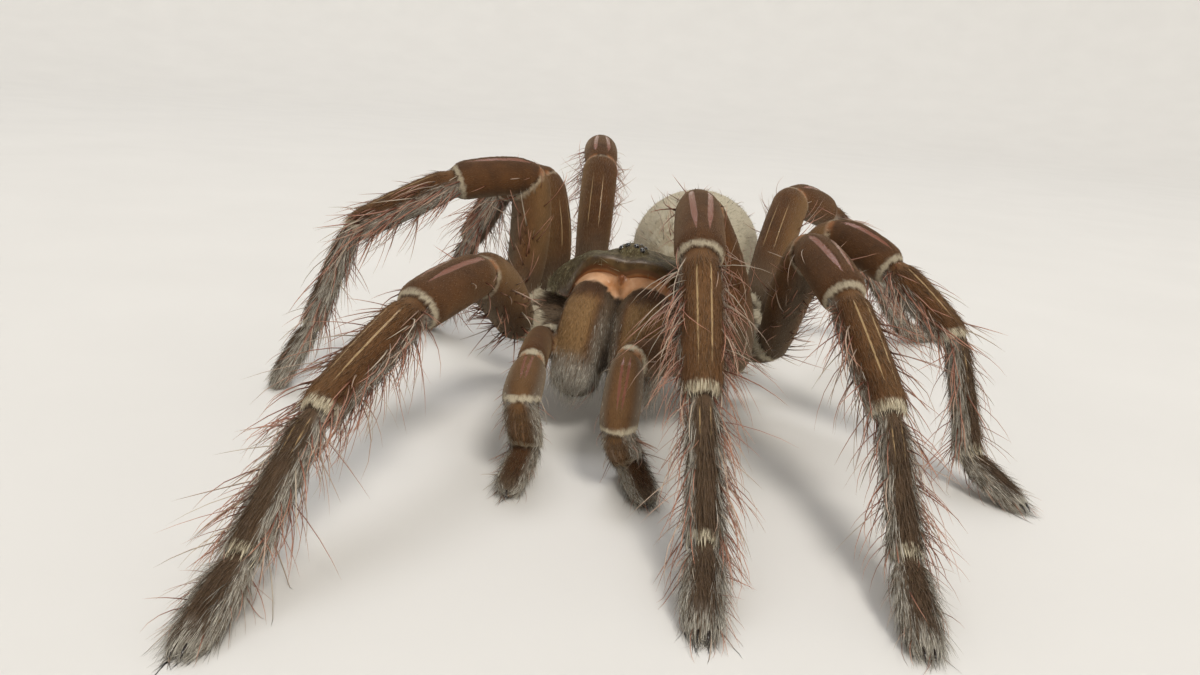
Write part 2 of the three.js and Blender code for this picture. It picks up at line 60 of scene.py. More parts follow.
# Eggs along the body: kind, length, width and height, and the middle's place: across, ahead, above.
EGGS = dict(
    abdomen=("abdomen", 40.5, 27.4, 26, (-1.2, -40, 1.9)),
    sternum=("sternum", 17, 15, 9, (0, 0, -6.1)),
    labium=("sternum", 4.4, 4.8, 4.4, (0, 9.1, -8.0)),
    flanks=("pedicel", 28, 31, 6, (0, -2.0, -2.9)),  # soft skin under the rim of the carapace
)
MEMBRANE_MIDDLE = ("membrane", 3.8, 2.7, 5.2, (0, 16.0, 3.2))

# A rod's size is its length, its full width and full depth at the root, middle and tip, and how far
# its back bows up. Swing is from straight ahead toward its own side, rise is above the horizon.
PEDICEL = dict(place=(0, -12, -3.4), swing=180, rise=4, size=(13, (5,) * 3, (4,) * 3, 0.0))
BODY_RODS = dict(  # at either side: where the pair's middle lies, then place, swing, rise and size
    chelicera=(0, (4.45, 17.0, -0.8), 3, -62, (14.6, (9.5, 9.3, 7.9), (9.4, 10, 8.2), 0.4)),
    spinneret=(-1.2, (3.2, -57, -4.6), 168, 14, (11, (2.8, 2.4, 1.3), (2.8, 2.4, 1.3), 0.0)),
)
JAW_CROWN, JAW_END = 5.0, 0.7  # how far a jaw's crown stands above its root and its dome past its end
# The soft skin between brow and jaws, out from the middle: where it starts and ends. Its size and
# those of the coxae leave out the length, which follows from the two ends.
MEMBRANE_ENDS = ((-2.2, 15.6, 3.2), (9.5, 13.3, -0.6))
MEMBRANE_SIZE = ((3.4, 3.6, 2.8), (4.2, 4.2, 2.6), 3.0)
COXA_SIZE = ((7.4, 7.4, 6.6), (8, 8, 6.8), 0.0)
PALP_COXA_SIZE = ((6.2, 6.0, 5.2), (7.2, 6.8, 5.6), 0.0)
LEG_SIZES = {
    1: dict(
        femur=(26.4, (6.6, 7.6, 6.8), (7.6, 9.4, 7.2), 1.0),
        patella=(17, (6.6, 7.4, 7.2), (6.8, 7.4, 7.0), 0.4),
        tibia=(20.5, (6.1, 6.3, 5.9), (6.2, 6.4, 5.8), 0.2),
        metatarsus=(18, (4.8, 4.9, 5.3), (4.9, 4.9, 5.0), 0.2),
        tarsus=(11.5, (5.0, 5.7, 4.8), (4.6, 4.8, 4.2), 0.0),
    ),
    2: dict(
        femur=(23.5, (5.8, 7.0, 6.8), (6.2, 7.8, 7.0), 1.0),
        patella=(14.5, (6.4, 7.2, 7.0), (6.6, 7.2, 6.8), 0.4),
        tibia=(19, (6.0, 6.1, 5.7), (6.0, 6.2, 5.6), 0.2),
        metatarsus=(18.5, (4.6, 4.6, 5.0), (4.6, 4.6, 4.8), 0.2),
        tarsus=(12.5, (4.8, 5.5, 4.6), (4.4, 4.6, 4.0), 0.0),
    ),
    3: dict(
        femur=(21.5, (6.0, 7.4, 6.8), (6.6, 8.6, 7.2), 1.0),
        patella=(12, (6.2, 7.0, 6.6), (6.4, 7.0, 6.4), 0.4),
        tibia=(15, (6.0, 6.2, 5.6), (6.0, 6.2, 5.4), 0.2),
        metatarsus=(18, (4.6, 4.8, 5.4), (4.6, 4.6, 4.8), 0.2),
        tarsus=(11, (4.8, 5.4, 4.6), (4.4, 4.6, 4.0), 0.0),
    ),
    4: dict(
        femur=(25.5, (6.2, 7.4, 7.4), (6.8, 9.0, 7.6), 1.0),
        patella=(14, (6.6, 7.4, 7.0), (6.8, 7.4, 6.8), 0.4),
        tibia=(20.5, (6.4, 6.6, 6.0), (6.4, 6.6, 5.8), 0.2),
        metatarsus=(27, (4.8, 5.0, 5.4), (4.8, 4.8, 4.8), 0.3),
        tarsus=(12, (4.8, 5.4, 4.6), (4.4, 4.6, 4.0), 0.0),
    ),
    "palp": dict(
        femur=(19, (4.2, 4.8, 5.0), (4.8, 6.2, 5.6), 0.6),
        patella=(11.5, (5.0, 5.8, 5.6), (5.2, 5.8, 5.4), 0.3),
        tibia=(12.5, (5.2, 5.6, 5.2), (5.2, 5.4, 5.0), 0.2),
        tarsus=(12, (4.8, 5.2, 4.4), (4.6, 4.8, 4.0), 0.0),
    ),
}
# Where each coxa leaves the breast plate and where its femur starts: out, ahead, above.
HIPS = {
    1: ((5.6, 7.4, -6.8), (18.8, 14.4, -6.5)), 2: ((6.6, 2.2, -6.6), (23.5, 3.5, -6.0)),
    3: ((6.4, -3.4, -6.4), (21.5, -7.0, -5.2)), 4: ((5.4, -8.0, -6.0), (17.0, -17.0, -4.2)),
    "palp": ((4.2, 9.6, -7.6), (12.6, 18.0, -7.6)),
}
# The stance: the swings and the rises of each limb's pieces, from the femur out.
STANCE = {  # by side, -1 for the right and 1 for the left
    (-1, 1): ((-9, 5, 6, -3, -8), (29, -8, -26, -39, -24)),
    (-1, 2): ((42, 40, 62, 58, 56), (93, -5, -28, -69, -60)),
    (-1, 3): ((113, 112, 112, 112, 112), (83, -14, -53, -67, -28)),
    (-1, 4): ((165, 160, 160, 160, 160), (65, 8, -43, -54, -25)),
    (-1, "palp"): ((-17, -16, -12, -10), (3, -9, -131, -11)),
    (1, 1): ((-40, 16, 20, 21, 15), (67, -17, -45, -49, -30)),
    (1, 2): ((22, 30, 32, 18, 16), (54, -18, -37, -43, -23)),
    (1, 3): ((66, 60, 58, 56, 53), (61, -20, -33, -72, -24)),
    (1, 4): ((172, 155, 149, 145, 144), (51, -14, -34, -42, -11)),
    (1, "palp"): ((-16, 12, 5, 30), (13, -42, -142, -6)),
}
SIDE_NAME = {-1: "right", 1: "left"}
FLOOR_GAP, HAIR_GAP = 0.35, 0.04  # the skin of the soles and the lowest hair over the floor

# ---- Vectors and blending ----

UP = np.array([0.0, 0.0, 1.0])
BODY_TURN = np.array([
    [1, 0, 0], [0, math.cos(NOSE_UP), math.sin(NOSE_UP)], [0, -math.sin(NOSE_UP), math.cos(NOSE_UP)]
])


def unit(v):
    return v / np.maximum(np.linalg.norm(v, axis=-1, keepdims=True), 1e-12)


def step(low, high, x):
    """0 below low, 1 above high and smooth between; low may be the larger of the two."""
    k = np.clip((x - low) / (high - low), 0, 1)
    return k * k * (3 - 2 * k)


def hill(distance, spread):
    return np.exp(-((distance / spread) ** 2))


def between(sizes, t):
    """A value running smoothly through root, middle and tip sizes as t goes from 0 to 1."""
    root, middle, tip = sizes[..., 0], sizes[..., 1], sizes[..., 2]
    return root * (1 - t) * (1 - 2 * t) + middle * 4 * t * (1 - t) + tip * t * (2 * t - 1)


def on_body(across, ahead, above):
    """A place on the tilted body, from its distances to the carapace's middle."""
    return BODY_MIDDLE + BODY_TURN @ np.array([across, -ahead, above], float)


def limb_axes(side, swing, rise):
    """Rows: across, along and back of a limb piece."""
    s, r = math.radians(swing), math.radians(rise)
    outward = np.array([side * math.sin(s), -math.cos(s), 0.0])
    along = outward * math.cos(r) + UP * math.sin(r)
    back = -outward * math.sin(r) + UP * math.cos(r)
    return np.array([np.cross(along, back), along, back])


def full_turn(sides):
    """The angles of so many points round a ring."""
    return np.linspace(0, 2 * math.pi, sides, endpoint=False)


# ---- The animal's pieces ----

KINDS = (
    "coxa femur patella tibia metatarsus tarsus palp_femur palp_patella palp_tibia palp_tarsus "
    "chelicera abdomen pedicel spinneret sternum membrane carapace"
).split()
KIND = {name: i for i, name in enumerate(KINDS)}


class Piece:
    """A rod or an egg in its own frame: x across, y along from its root, z toward its back."""

    def __init__(self, name, kind, side, root, axes, size, egg=False):
        self.name, self.kind, self.side, self.egg = name, kind, side, egg
        self.root, self.axes = np.array(root, float), axes
        self.length, self.wide, self.deep, self.bow = size
        self.crown = JAW_CROWN if kind == "chelicera" else 0.0
        self.end = self.root + self.axes[1] * self.length
        self.root_normal = self.end_normal = self.axes[1]
        self.next = self

    def bend_into(self, other):
        """Halves the bend between this piece and the next one out."""
        normal = unit(self.axes[1] + other.axes[1])
        self.end_normal = other.root_normal = normal
        self.next = other

    def reach(self, normal, girth):
        """How far past a joint the rod runs, to fill the outside of the bend."""
        bend = math.acos(min(1, float(normal @ self.axes[1])))
        return 0.5 + min(0.42 * girth * math.tan(bend), 0.3 * girth)


def straight_rod(name, kind, side, root, end, size):
    """A rod from one place to another, with its back upward."""
    along = unit(end - root)
    back = unit(UP - along * (UP @ along))
    axes = np.array([np.cross(along, back), along, back])
    return Piece(name, kind, side, root, axes, (float(np.linalg.norm(end - root)), *size))


def limb_pieces(key, side):
    """The coxa of a leg or palp and the pieces after it, each bent into the next."""
    palp = key == "palp"
    label = f"palp_{SIDE_NAME[side]}" if palp else f"leg_{SIDE_NAME[side]}_{key}"
    root, point = (on_body(side * out, ahead, above) for out, ahead, above in HIPS[key])
    size = PALP_COXA_SIZE if palp else COXA_SIZE
    pieces = [straight_rod(label + "_coxa", "coxa", side, root, point, size)]
    for (name, size), swing, rise in zip(LEG_SIZES[key].items(), *STANCE[side, key]):
        kind = f"palp_{name}" if palp else name
        piece = Piece(f"{label}_{name}", kind, side, point, limb_axes(side, swing, rise), size)
        pieces[-1].bend_into(piece)
        pieces.append(piece)
        point = piece.end
    return pieces


def egg_piece(name, kind, length, width, height, place):
    """An egg whose length lies along the body, from its front end backward."""
    axes = BODY_TURN.T
    root = on_body(*place) - axes[1] * length / 2
    return Piece(name, kind, 1, root, axes, (length, (width,) * 3, (height,) * 3, 0.0), egg=True)


def body_pieces():
    """Waist, abdomen, breast plate, jaws, spinnerets and the soft skin around them."""
    pieces = [egg_piece(name, *row) for name, row in EGGS.items()]
    p = PEDICEL
    axes = limb_axes(1, p["swing"], p["rise"])
    pieces.append(Piece("pedicel", "pedicel", 1, on_body(*p["place"]), axes, p["size"]))
    for side, label in SIDE_NAME.items():
        for kind, (aside, (across, ahead, above), swing, rise, size) in BODY_RODS.items():
            root = on_body(side * across + aside, ahead, above)
            axes = limb_axes(side, swing, rise)
            pieces.append(Piece(f"{kind}_{label}", kind, side, root, axes, size))
        ends = (on_body(side * across, ahead, above) for across, ahead, above in MEMBRANE_ENDS)
        pieces.append(straight_rod(f"membrane_{label}", "membrane", side, *ends, MEMBRANE_SIZE))
    return pieces + [egg_piece("membrane_middle", *MEMBRANE_MIDDLE)]


PIECES = body_pieces() + [p for side in SIDE_NAME for key in HIPS for p in limb_pieces(key, side)]
PIECE_AT = {piece.name: i for i, piece in enumerate(PIECES)}
SKIN_NODES = [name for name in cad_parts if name.split("_")[0] not in ("carapace", "eye", "fang")]


def column(read):
    return np.array([read(piece) for piece in PIECES], float)


ROOT, END = column(lambda p: p.root), column(lambda p: p.end)
AXES, LENGTH = column(lambda p: p.axes), column(lambda p: p.length)
WIDE, DEEP, BOW = column(lambda p: p.wide), column(lambda p: p.deep), column(lambda p: p.bow)
ROOT_NORMAL, END_NORMAL = column(lambda p: p.root_normal), column(lambda p: p.end_normal)
SIDE, EGG = column(lambda p: p.side), column(lambda p: p.egg) > 0
CROWN = column(lambda p: p.crown)
HAIRY = column(lambda p: 1.35 if "_1_" in p.name else 1.0)  # the front legs are the hairiest
KIND_OF = column(lambda p: KIND[p.kind]).astype(int)
NEXT = column(lambda p: PIECE_AT[p.next.name]).astype(int)
MEMBRANE_LEAD = 0.35  # how much nearer the soft band counts, so that its edge is clear


class Places:
    """Where points lie on the animal: each one's piece and its place on that piece."""

    def __init__(self, points, piece):
        self.points, self.piece = points, piece
        local = np.einsum("nij,nj->ni", AXES[piece], points - ROOT[piece])
        self.kind = KIND_OF[piece]
        self.t = local[:, 1] / LENGTH[piece]
        inside = np.clip(self.t, 0, 1)
        self.half_wide = between(WIDE[piece], inside) / 2
        self.half_deep = between(DEEP[piece], inside) / 2
        x = local[:, 0] * SIDE[piece]
        z = local[:, 2] - 4 * BOW[piece] * inside * (1 - inside)
        self.angle = np.degrees(np.arctan2(x / self.half_wide, z / self.half_deep))
        self.off_back = np.abs(self.angle)
        self.ring = np.hypot(x / self.half_wide, z / self.half_deep)
        self.girth = (self.half_wide + self.half_deep) / 2
        self.past_root = np.einsum("nj,nj->n", points - ROOT[piece], ROOT_NORMAL[piece])
        self.to_end = np.einsum("nj,nj->n", END[piece] - points, END_NORMAL[piece])

    def distance(self):
        """Roughly how far the points are from the surface of the piece, in millimetres."""
        rod = np.abs(self.ring - 1) * self.girth
        rod += 4 * np.maximum(0, -self.past_root - CROWN[self.piece])
        rod += 4 * np.maximum(0, -self.to_end)
        ball = np.sqrt(self.ring**2 + (2 * self.t - 1) ** 2)
        egg = np.abs(ball - 1) * np.minimum(self.girth, LENGTH[self.piece] / 2)
        return np.where(EGG[self.piece], egg, rod) - MEMBRANE_LEAD * self.of("membrane")

    def of(self, *kinds):
        """Which of the points are on these kinds of piece."""
        return np.isin(self.kind, [KIND[name] for name in kinds])


def find_places(points):
    """Places for points of the skin, each on the piece whose surface is nearest."""
    best = np.full(len(points), np.inf)
    nearest = np.zeros(len(points), int)
    for i in range(len(PIECES)):
        distance = Places(points, np.full(len(points), i)).distance()
        closer = distance < best
        best[closer] = distance[closer]
        nearest[closer] = i
    return Places(points, nearest)


# ---- Meshes from arrays ----


def add_object(name, data):
    thing = bpy.data.objects.new(name, data)
    bpy.context.scene.collection.objects.link(thing)
    return thing


def mesh_piece(name, points, faces):
    """A smooth object from points in millimetres and their faces."""
    mesh = bpy.data.meshes.new(name)
    mesh.from_pydata((points * MM).tolist(), [], faces.tolist(), shade_flat=False)
    mesh.validate()
    return add_object(name, mesh)


def finish_piece(piece, material):
    """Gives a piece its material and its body."""
    piece.data.materials.append(material)
    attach(piece, "root")


def add_values(piece, name, values):
    """Stores a number or a vector per point under a name that the materials read."""
    kind, field = ("FLOAT", "value") if values.ndim == 1 else ("FLOAT_VECTOR", "vector")
    attribute = piece.data.attributes.new(name, kind, "POINT")
    attribute.data.foreach_set(field, values.astype(np.float32).ravel())


def add_bake_map(piece, places):
    """A UV map from one place per point."""
    mesh = piece.data
    corner = np.zeros(len(mesh.loops), np.int32)
    mesh.loops.foreach_get("vertex_index", corner)
    layer = mesh.uv_layers.new(name="OFBake")
    layer.data.foreach_set("uv", np.asarray(places, np.float32)[corner].ravel())


def ring_faces(rings, sides):
    """Quads of a tube of rings, as two triangles each, and fans over its two ends."""
    faces, last = [], (rings - 1) * sides
    for start in range(0, last, sides):
        for j in range(sides):
            a, b = start + j, start + (j + 1) % sides
            faces += [(a, b, b + sides), (a, b + sides, a + sides)]
    for j in range(1, sides - 1):
        faces += [(0, j + 1, j), (last, last + j, last + j + 1)]
    return np.array(faces)


def tube(root, axes, along, half_wide, half_deep, lift, sides):
    """Points and faces of a tube from its girth and its lift at each place along it."""
    around = full_turn(sides)
    local = np.stack([
        np.outer(half_wide, np.sin(around)),
        np.outer(along, np.ones(sides)),
        np.outer(half_deep, np.cos(around)) + lift[:, None],
    ], -1)
    return local.reshape(-1, 3) @ axes + root, ring_faces(len(along), sides)


def join_shapes(shapes):
    """One array of points and one of faces from those of many shapes."""
    points, faces = zip(*shapes)
    starts = np.cumsum([0] + [len(shape) for shape in points])
    return np.concatenate(points), np.concatenate([f + start for f, start in zip(faces, starts)])


# ---- Skin ----

# How deep the skin lies under the tips of the short coat.
COAT_DEPTH = dict(
    coxa=0.4, femur=0.2, patella=0.15, tibia=0.35, metatarsus=0.5, tarsus=0.55, palp_femur=0.2,
    palp_patella=0.15, palp_tibia=0.3, palp_tarsus=0.45, chelicera=0.2, abdomen=0.5, pedicel=0.3,
    spinneret=0.2, sternum=0.3, membrane=0.0, carapace=0.2,
)
SKIN_GRAIN = 0.5  # the grain at which the pieces are grown together
SKIN_KEPT = 0.77  # the part of the skin's triangles that is kept
SHOULDER = 2.6  # the length over which the end of a rod narrows
LINE_DEPTH, CREASE_DEPTH = 0.1, 0.14  # of the bare lines and of the crease at each joint
SKIN_SILVER = 0.45  # the part of the silver that shows on the skin itself, under the hair
ROD_SIDES, ROD_STEPS, EGG_SIDES, EGG_STEPS = 22, 26, 40, 30  # of the pieces before they grow together


def rod_surface(piece):
    """The points of one rod with domed ends, a waist after its root and a lip at its tip."""
    depth = COAT_DEPTH[piece.kind]
    wide, deep = np.array(piece.wide), np.array(piece.deep)
    before = piece.reach(piece.root_normal, deep[0])
    after = piece.reach(piece.end_normal, deep[2])
    if piece.kind == "chelicera":
        before, after = piece.crown, JAW_END
    elif piece.next is piece:
        after = 0.0
    domed = 1 - np.cos(np.linspace(0, math.pi / 2, 7))
    shoulder = min(SHOULDER, piece.length * 0.25)
    root = -before + domed * (before + shoulder)
    tip = piece.length + after - domed[::-1] * (after + shoulder)
    y = np.concatenate([root, np.linspace(root[-1], tip[0], ROD_STEPS)[1:-1], tip])
    near = np.minimum((y + before) / (before + shoulder), (piece.length + after - y) / (after + shoulder))
    dome = (1 - (1 - np.clip(near, 0.004, 1)) ** 2.4) ** 0.45
    t = np.clip(y / piece.length, -0.1, 1.1)
    waist = 1 - 0.07 * hill(y - 0.6, 1.0) + 0.03 * hill(piece.length - y - 1.1, 0.8)
    if piece.kind in ("chelicera", "pedicel", "spinneret"):
        waist = 1.0
    half_wide = (between(wide, t) / 2 - depth) * dome * waist
    half_deep = (between(deep, t) / 2 - depth) * dome * waist
    bow = 4 * piece.bow * t * (1 - t)
    return tube(piece.root, piece.axes, y, half_wide, half_deep, bow, ROD_SIDES)


def egg_surface(piece):
    """The points of one egg; the abdomen's is fuller behind and its ends hang lower."""
    depth = COAT_DEPTH[piece.kind]
    tilt = np.linspace(0.02, math.pi - 0.02, EGG_STEPS)
    y = -np.cos(tilt)
    abdomen = piece.kind == "abdomen"
    full = 1 + (0.1 * y - 0.06 * y * y) * abdomen
    sag = (0.5 - 1.2 * y * y) * abdomen
    girths = (piece.wide[0], piece.deep[0])
    half_wide, half_deep = (np.sin(tilt) * (girth / 2 * full - depth) for girth in girths)
    along = piece.length / 2 + y * (piece.length / 2 - depth)
    return tube(piece.root, piece.axes, along, half_wide, half_deep, sag, EGG_SIDES)


def read_threes(items, name, kind=float):
    numbers = np.zeros(len(items) * 3, kind)
    items.foreach_get(name, numbers)
    return numbers.reshape(-1, 3)


def fused_skin():
    """Every piece of flesh grown together into one closed skin."""
    shapes = (egg_surface(piece) if piece.egg else rod_surface(piece) for piece in PIECES)
    rough = mesh_piece("rough_skin", *join_shapes(shapes))
    grow = rough.modifiers.new("fuse", "REMESH")
    grow.mode = "VOXEL"
    grow.voxel_size = SKIN_GRAIN * MM
    soften = rough.modifiers.new("soften", "SMOOTH")
    soften.factor, soften.iterations = 0.5, 3
    rough.modifiers.new("lighten", "DECIMATE").ratio = SKIN_KEPT
    fused = rough.evaluated_get(bpy.context.evaluated_depsgraph_get()).to_mesh()
    fused.calc_loop_triangles()
    points, normals = read_threes(fused.vertices, "co") / MM, read_threes(fused.vertices, "normal")
    faces = read_threes(fused.loop_triangles, "vertices", np.int32)
    bpy.data.objects.remove(rough)
    return points, faces, normals


# ---- Markings ----

# How golden each kind of piece is.
GOLD = dict(
    femur=0.5, patella=0.4, tibia=0.65, metatarsus=0.3, tarsus=0.15, palp_femur=0.5,
    palp_patella=0.55, palp_tibia=0.5, palp_tarsus=0.3, chelicera=1.0, coxa=0.25,
)
# Degrees from the back at which grey hair starts and at which it is full.
GREY_FROM = dict(
    femur=(115, 180), patella=(110, 175), tibia=(85, 150), metatarsus=(15, 70), tarsus=(20, 65),
    palp_femur=(90, 150), palp_patella=(100, 160), palp_tibia=(20, 80), palp_tarsus=(20, 80),
    coxa=(-40, 60),
)
# Degrees from the back at which pale silver strands start and are full.
SILVER_FROM = dict(
    tibia=(60, 110), metatarsus=(26, 62), tarsus=(22, 60), palp_tibia=(30, 70), palp_tarsus=(25, 70)
)
# How pale the hair ring at the outer end is, and how wide it is in millimetres.
RING = dict(
    coxa=(0.7, 1.6), femur=(0.4, 0.8), patella=(0.6, 1.0), tibia=(0.95, 1.6), metatarsus=(1.0, 1.3),
    palp_femur=(0.75, 1.1), palp_patella=(0.7, 1.0), palp_tibia=(0.4, 0.8),
)
# Pairs of bare lines along the back: degrees from its middle at the root, how much they close in
# by the tip, half their width in millimetres, where they start and stop, and how rosy they are.
STRIPES = dict(
    femur=(20, 4, 0.1, 0.4, 0.94, 0.2), patella=(28, 15, 0.46, 0.04, 0.9, 1.0),
    tibia=(20, 2, 0.15, 0.1, 0.9, 0.1), metatarsus=(22, 6, 0.12, 0.05, 0.45, 0.1),
    palp_patella=(13, 7, 0.2, 0.08, 0.9, 1.0), palp_tibia=(14, 6, 0.13, 0.1, 0.8, 0.6),
)


def columns(table, kind, absent=None):
    """The columns of a table by kind, each as one number for every point."""
    absent = absent or (0.0,) * len(next(iter(table.values())))
    return np.array([table.get(name, absent) for name in KINDS], float)[kind].T


def stripe_places(places):
    """How far each point is from the nearest bare line, and half that line's width, in millimetres."""
    angle, closing, half, start, stop, _ = columns(STRIPES, places.kind)
    t = places.t
    out = np.radians(places.off_back - angle + closing * t) * places.girth
    taper = step(start - 0.03, start + 0.1, t) * step(stop + 0.03, stop - 0.3, t)
    return out, half * taper


def markings(places):
    """How strongly each colour shows at each place, from 0 to 1, for skin and coat alike."""
    kind, t, off_back, of = places.kind, places.t, places.off_back, places.of

    def from_back(table):
        return step(*columns(table, kind, (400, 401)), off_back)

    legs = ~EGG[places.piece]
    jaw = of("chelicera") * 1.0
    golden = np.array([GOLD.get(name, 0.0) for name in KINDS])[kind]
    # Painted sheen: femora and patellae get extra gold toward their sides, standing for the lighter edges
    # of velvet under light.
    marks = {"gold": golden + of("patella", "femur") * step(30, 95, off_back) * 0.2}
    from_stripe = np.abs(places.angle + 10)
    marks["fawn"] = np.maximum.reduce([
        jaw * step(50, 26, from_stripe) * step(-0.12, 0.08, t) * step(0.95, 0.6, t),
        of("femur") * hill(places.angle - 75, 40) * step(0.15, 0.5, t) * 0.5,
        of("tibia") * hill(off_back, 40) * 0.2,
        of("palp_patella", "palp_tibia") * hill(off_back, 45) * 0.3,
    ])
    marks["grey"] = np.maximum.reduce([
        from_back(GREY_FROM),
        of("tarsus", "palp_tarsus") * step(0.75, 1.0, t),
        of("femur") * step(0.5, 0.04, t) * 0.9,
        jaw * step(34, 62, from_stripe) * 0.9,
        jaw * step(0.5, 0.85, t) * 0.8,
        of("pedicel", "sternum") * 0.3,
        of("metatarsus") * 0.5,
        of("tarsus") * 0.4,
        of("palp_patella") * step(24, 60, off_back) * 0.8,
    ])
    marks["silver"] = np.maximum.reduce([
        from_back(SILVER_FROM) * step(176, 150, off_back),
        of("tarsus") * step(0.62, 0.95, t) * 1.4,
        jaw * step(0.55, 0.9, t) * 1.25,
        jaw * step(38, 60, from_stripe) * step(100, 70, from_stripe) * step(0.0, 0.3, t) * 0.4,
        of("palp_patella") * step(35, 75, off_back) * 0.35,
    ])
    strength, width = columns(RING, kind, (0.001, 0.001))
    marks["pale"] = strength * step(width, width * 0.75, places.to_end) * legs
    out, half = stripe_places(places)
    marks["stripe_out"], marks["stripe_half"] = out, half
    marks["bare"] = step(1.15, 0.85, np.abs(out) / np.maximum(half, 0.01)) * (half > 0.02)
    marks["rose"] = columns(STRIPES, kind)[5]
    hinge = of("femur", "palp_femur") * step(0.9, 0.3, places.to_end)
    hinge = np.maximum(hinge, of("patella", "palp_patella") * step(0.8, 0.2, places.past_root))
    marks["orange"] = hinge * step(22, 36, off_back) * step(88, 64, off_back) * 0.8
    marks["peach"] = of("membrane") * step(1.04, 0.85, t)
    marks["rust"] = of("membrane") * np.maximum(step(78, 35, off_back), step(0.72, 0.95, t))
    marks["cream"] = of("abdomen") * 1.0 + of("spinneret") * 0.5
    front = step(0.34, 0.05, t) * 0.7
    marks["tan"] = of("abdomen") * np.maximum(front, step(110, 165, off_back) * 0.6)
    # Painted shade: the inner faces of the jaws, where they meet, are darkened to stand for the shadow in
    # the gap between them.
    painted_jaw_gap_shade = jaw * step(52, 82, places.angle) * 0.9
    # Painted shade: the crown of each jaw, tucked under the soft band and the brow, is darkened.
    crown = jaw * step(0.06, -0.16, t) * 0.6
    # Painted shade: the undersides of femora, patellae and tibiae are darkened.
    painted_underside_shade = of("femur", "patella", "tibia") * step(140, 178, off_back) * 0.25
    crease = legs * step(0.4, 0.0, places.past_root) * 0.6 * ~of("chelicera", "membrane")
    # The dark mark is partly painted shade (the gap between the jaws, the jaw crowns, the undersides of
    # the legs) and partly the darker breast plate, waist and joints.
    marks["dark"] = np.maximum.reduce([painted_jaw_gap_shade, crown, painted_underside_shade, of("sternum", "pedicel") * 0.5, crease])
    return marks


def mark_piece(piece, marks):
    """Stores marks that hold a number for each point, or for each tuft of equal points."""
    for name, values in marks.items():
        add_values(piece, name, np.repeat(values, len(piece.data.vertices) // values.size))


def from_jaws(places):
    """How much further than their own piece the nearest jaw is from the points, in millimetres."""
    jaws = [i for i, piece in enumerate(PIECES) if piece.kind == "chelicera"]
    count = len(places.points)
    to_jaw = np.min([Places(places.points, np.full(count, i)).distance() for i in jaws], 0)
    return to_jaw - places.distance()


def make_skin():
    """The skin in one piece: its markings are stored on it and its bare lines pressed into it."""
    points, faces, normals = fused_skin()
    places = find_places(points)
    marks = markings(places)
    # Painted shade: where the soft band lies close against the jaws, its peach is taken out and the dark
    # mark put in its place.
    clear = step(0.0, 0.5, from_jaws(places))
    marks["dark"] = np.maximum(marks["dark"], marks["peach"] * (1 - clear) * 0.7)
    marks["peach"] = marks["peach"] * clear
    jointed = ~EGG[places.piece] & ~places.of("chelicera", "membrane")
    groove = LINE_DEPTH * marks.pop("bare") * (0.4 + marks["rose"])
    groove += CREASE_DEPTH * hill(places.past_root, 0.4) * jointed
    points = points - normals * groove[:, None]
    points[:, 2] = np.maximum(points[:, 2], FLOOR_GAP)
    skin = mesh_piece("skin", points, faces)
    marks["silver"] = marks["silver"] * SKIN_SILVER
    mark_piece(skin, marks)
    around = np.radians(places.angle) * places.girth
    along = places.t * LENGTH[places.piece]
    add_values(skin, "grain", np.stack([along, around, places.piece * 7.0], -1))
    return skin, points, faces, places


# ---- Tufts ----

PATCH = 0.0015  # half a tuft's patch on the bake map
COAT_TURN = 2.4  # how far before the end of a piece the coat starts to turn into the next
CORNERS = (math.pi / 2, math.pi * 7 / 6, math.pi * 11 / 6)  # round a tuft


def bake_places(places):
    """Where each root lies on the unwrapped skin: every piece has its own cell of a square."""
    present = np.unique(places.piece)
    across = math.ceil(math.sqrt(len(present)))
    cell = np.searchsorted(present, places.piece)
    inside = np.stack([(places.angle + 180) / 360, np.clip(places.t * 0.92 + 0.04, 0, 1)], -1)
    return (inside * 0.96 + 0.02 + np.stack([cell % across, cell // across], -1)) / across


def tuft_shape(roots, normals, lies, length, width, lift, curl, joints, sway):
    """Points and triangles of many three-sided tapering tufts."""
    at = roots - normals * (width * 0.3)[:, None]
    side = unit(np.cross(lies, normals))
    rings = []
    for i in range(joints + 1):
        u = i / joints
        angle = (lift + curl * u)[:, None]
        way = unit(lies * np.cos(angle) + normals * np.sin(angle) + sway * u)
        if i:
            at = at + way * (length / joints)[:, None]
        if i == joints:
            rings.append(at[:, None])
            break
        over = unit(np.cross(side, way))
        half = (width * 0.5 * (1 - u) ** 0.6)[:, None]
        corners = [at + half * (side * math.cos(k) + over * 0.55 * math.sin(k)) for k in CORNERS]
        rings.append(np.stack(corners, 1))
    tip = 3 * joints
    point = [(tip - 3, tip - 2, tip), (tip - 2, tip - 1, tip), (tip - 1, tip - 3, tip)]
    faces = np.array([(0, 2, 1), *ring_faces(joints, 3)[:-2], *point])
    faces = faces[None] + (np.arange(len(roots)) * (tip + 1))[:, None, None]
    points = np.concatenate(rings, 1).reshape(-1, 3)
    points[:, 2] = np.maximum(points[:, 2], HAIR_GAP)
    return points, faces.reshape(-1, 3)


def patch_offsets(joints):
    """Each tuft point's place inside its patch: the root ring outside, the tip in the middle."""
    reach = PATCH * (1 - np.arange(joints) / joints)
    corners = np.stack([np.cos(CORNERS), np.sin(CORNERS)], -1)
    return np.append(reach[:, None, None] * corners, [0.0, 0.0]).reshape(-1, 2)


def tuft_piece(name, roots, normals, lies, size, joints, places_on_map, rng, sway=0.0):
    """An object of tufts, with how far along each point is and one random shade for each tuft."""
    piece = mesh_piece(name, *tuft_shape(roots, normals, lies, *size, joints, sway))
    add_bake_map(piece, (places_on_map[:, None] + patch_offsets(joints)[None]).reshape(-1, 2))
    toward_tip = np.append(np.repeat(np.arange(joints) / joints, 3), 1.0)
    mark_piece(piece, {"tip": np.tile(toward_tip, len(roots)), "shade": rng.random(len(roots))})
    return piece


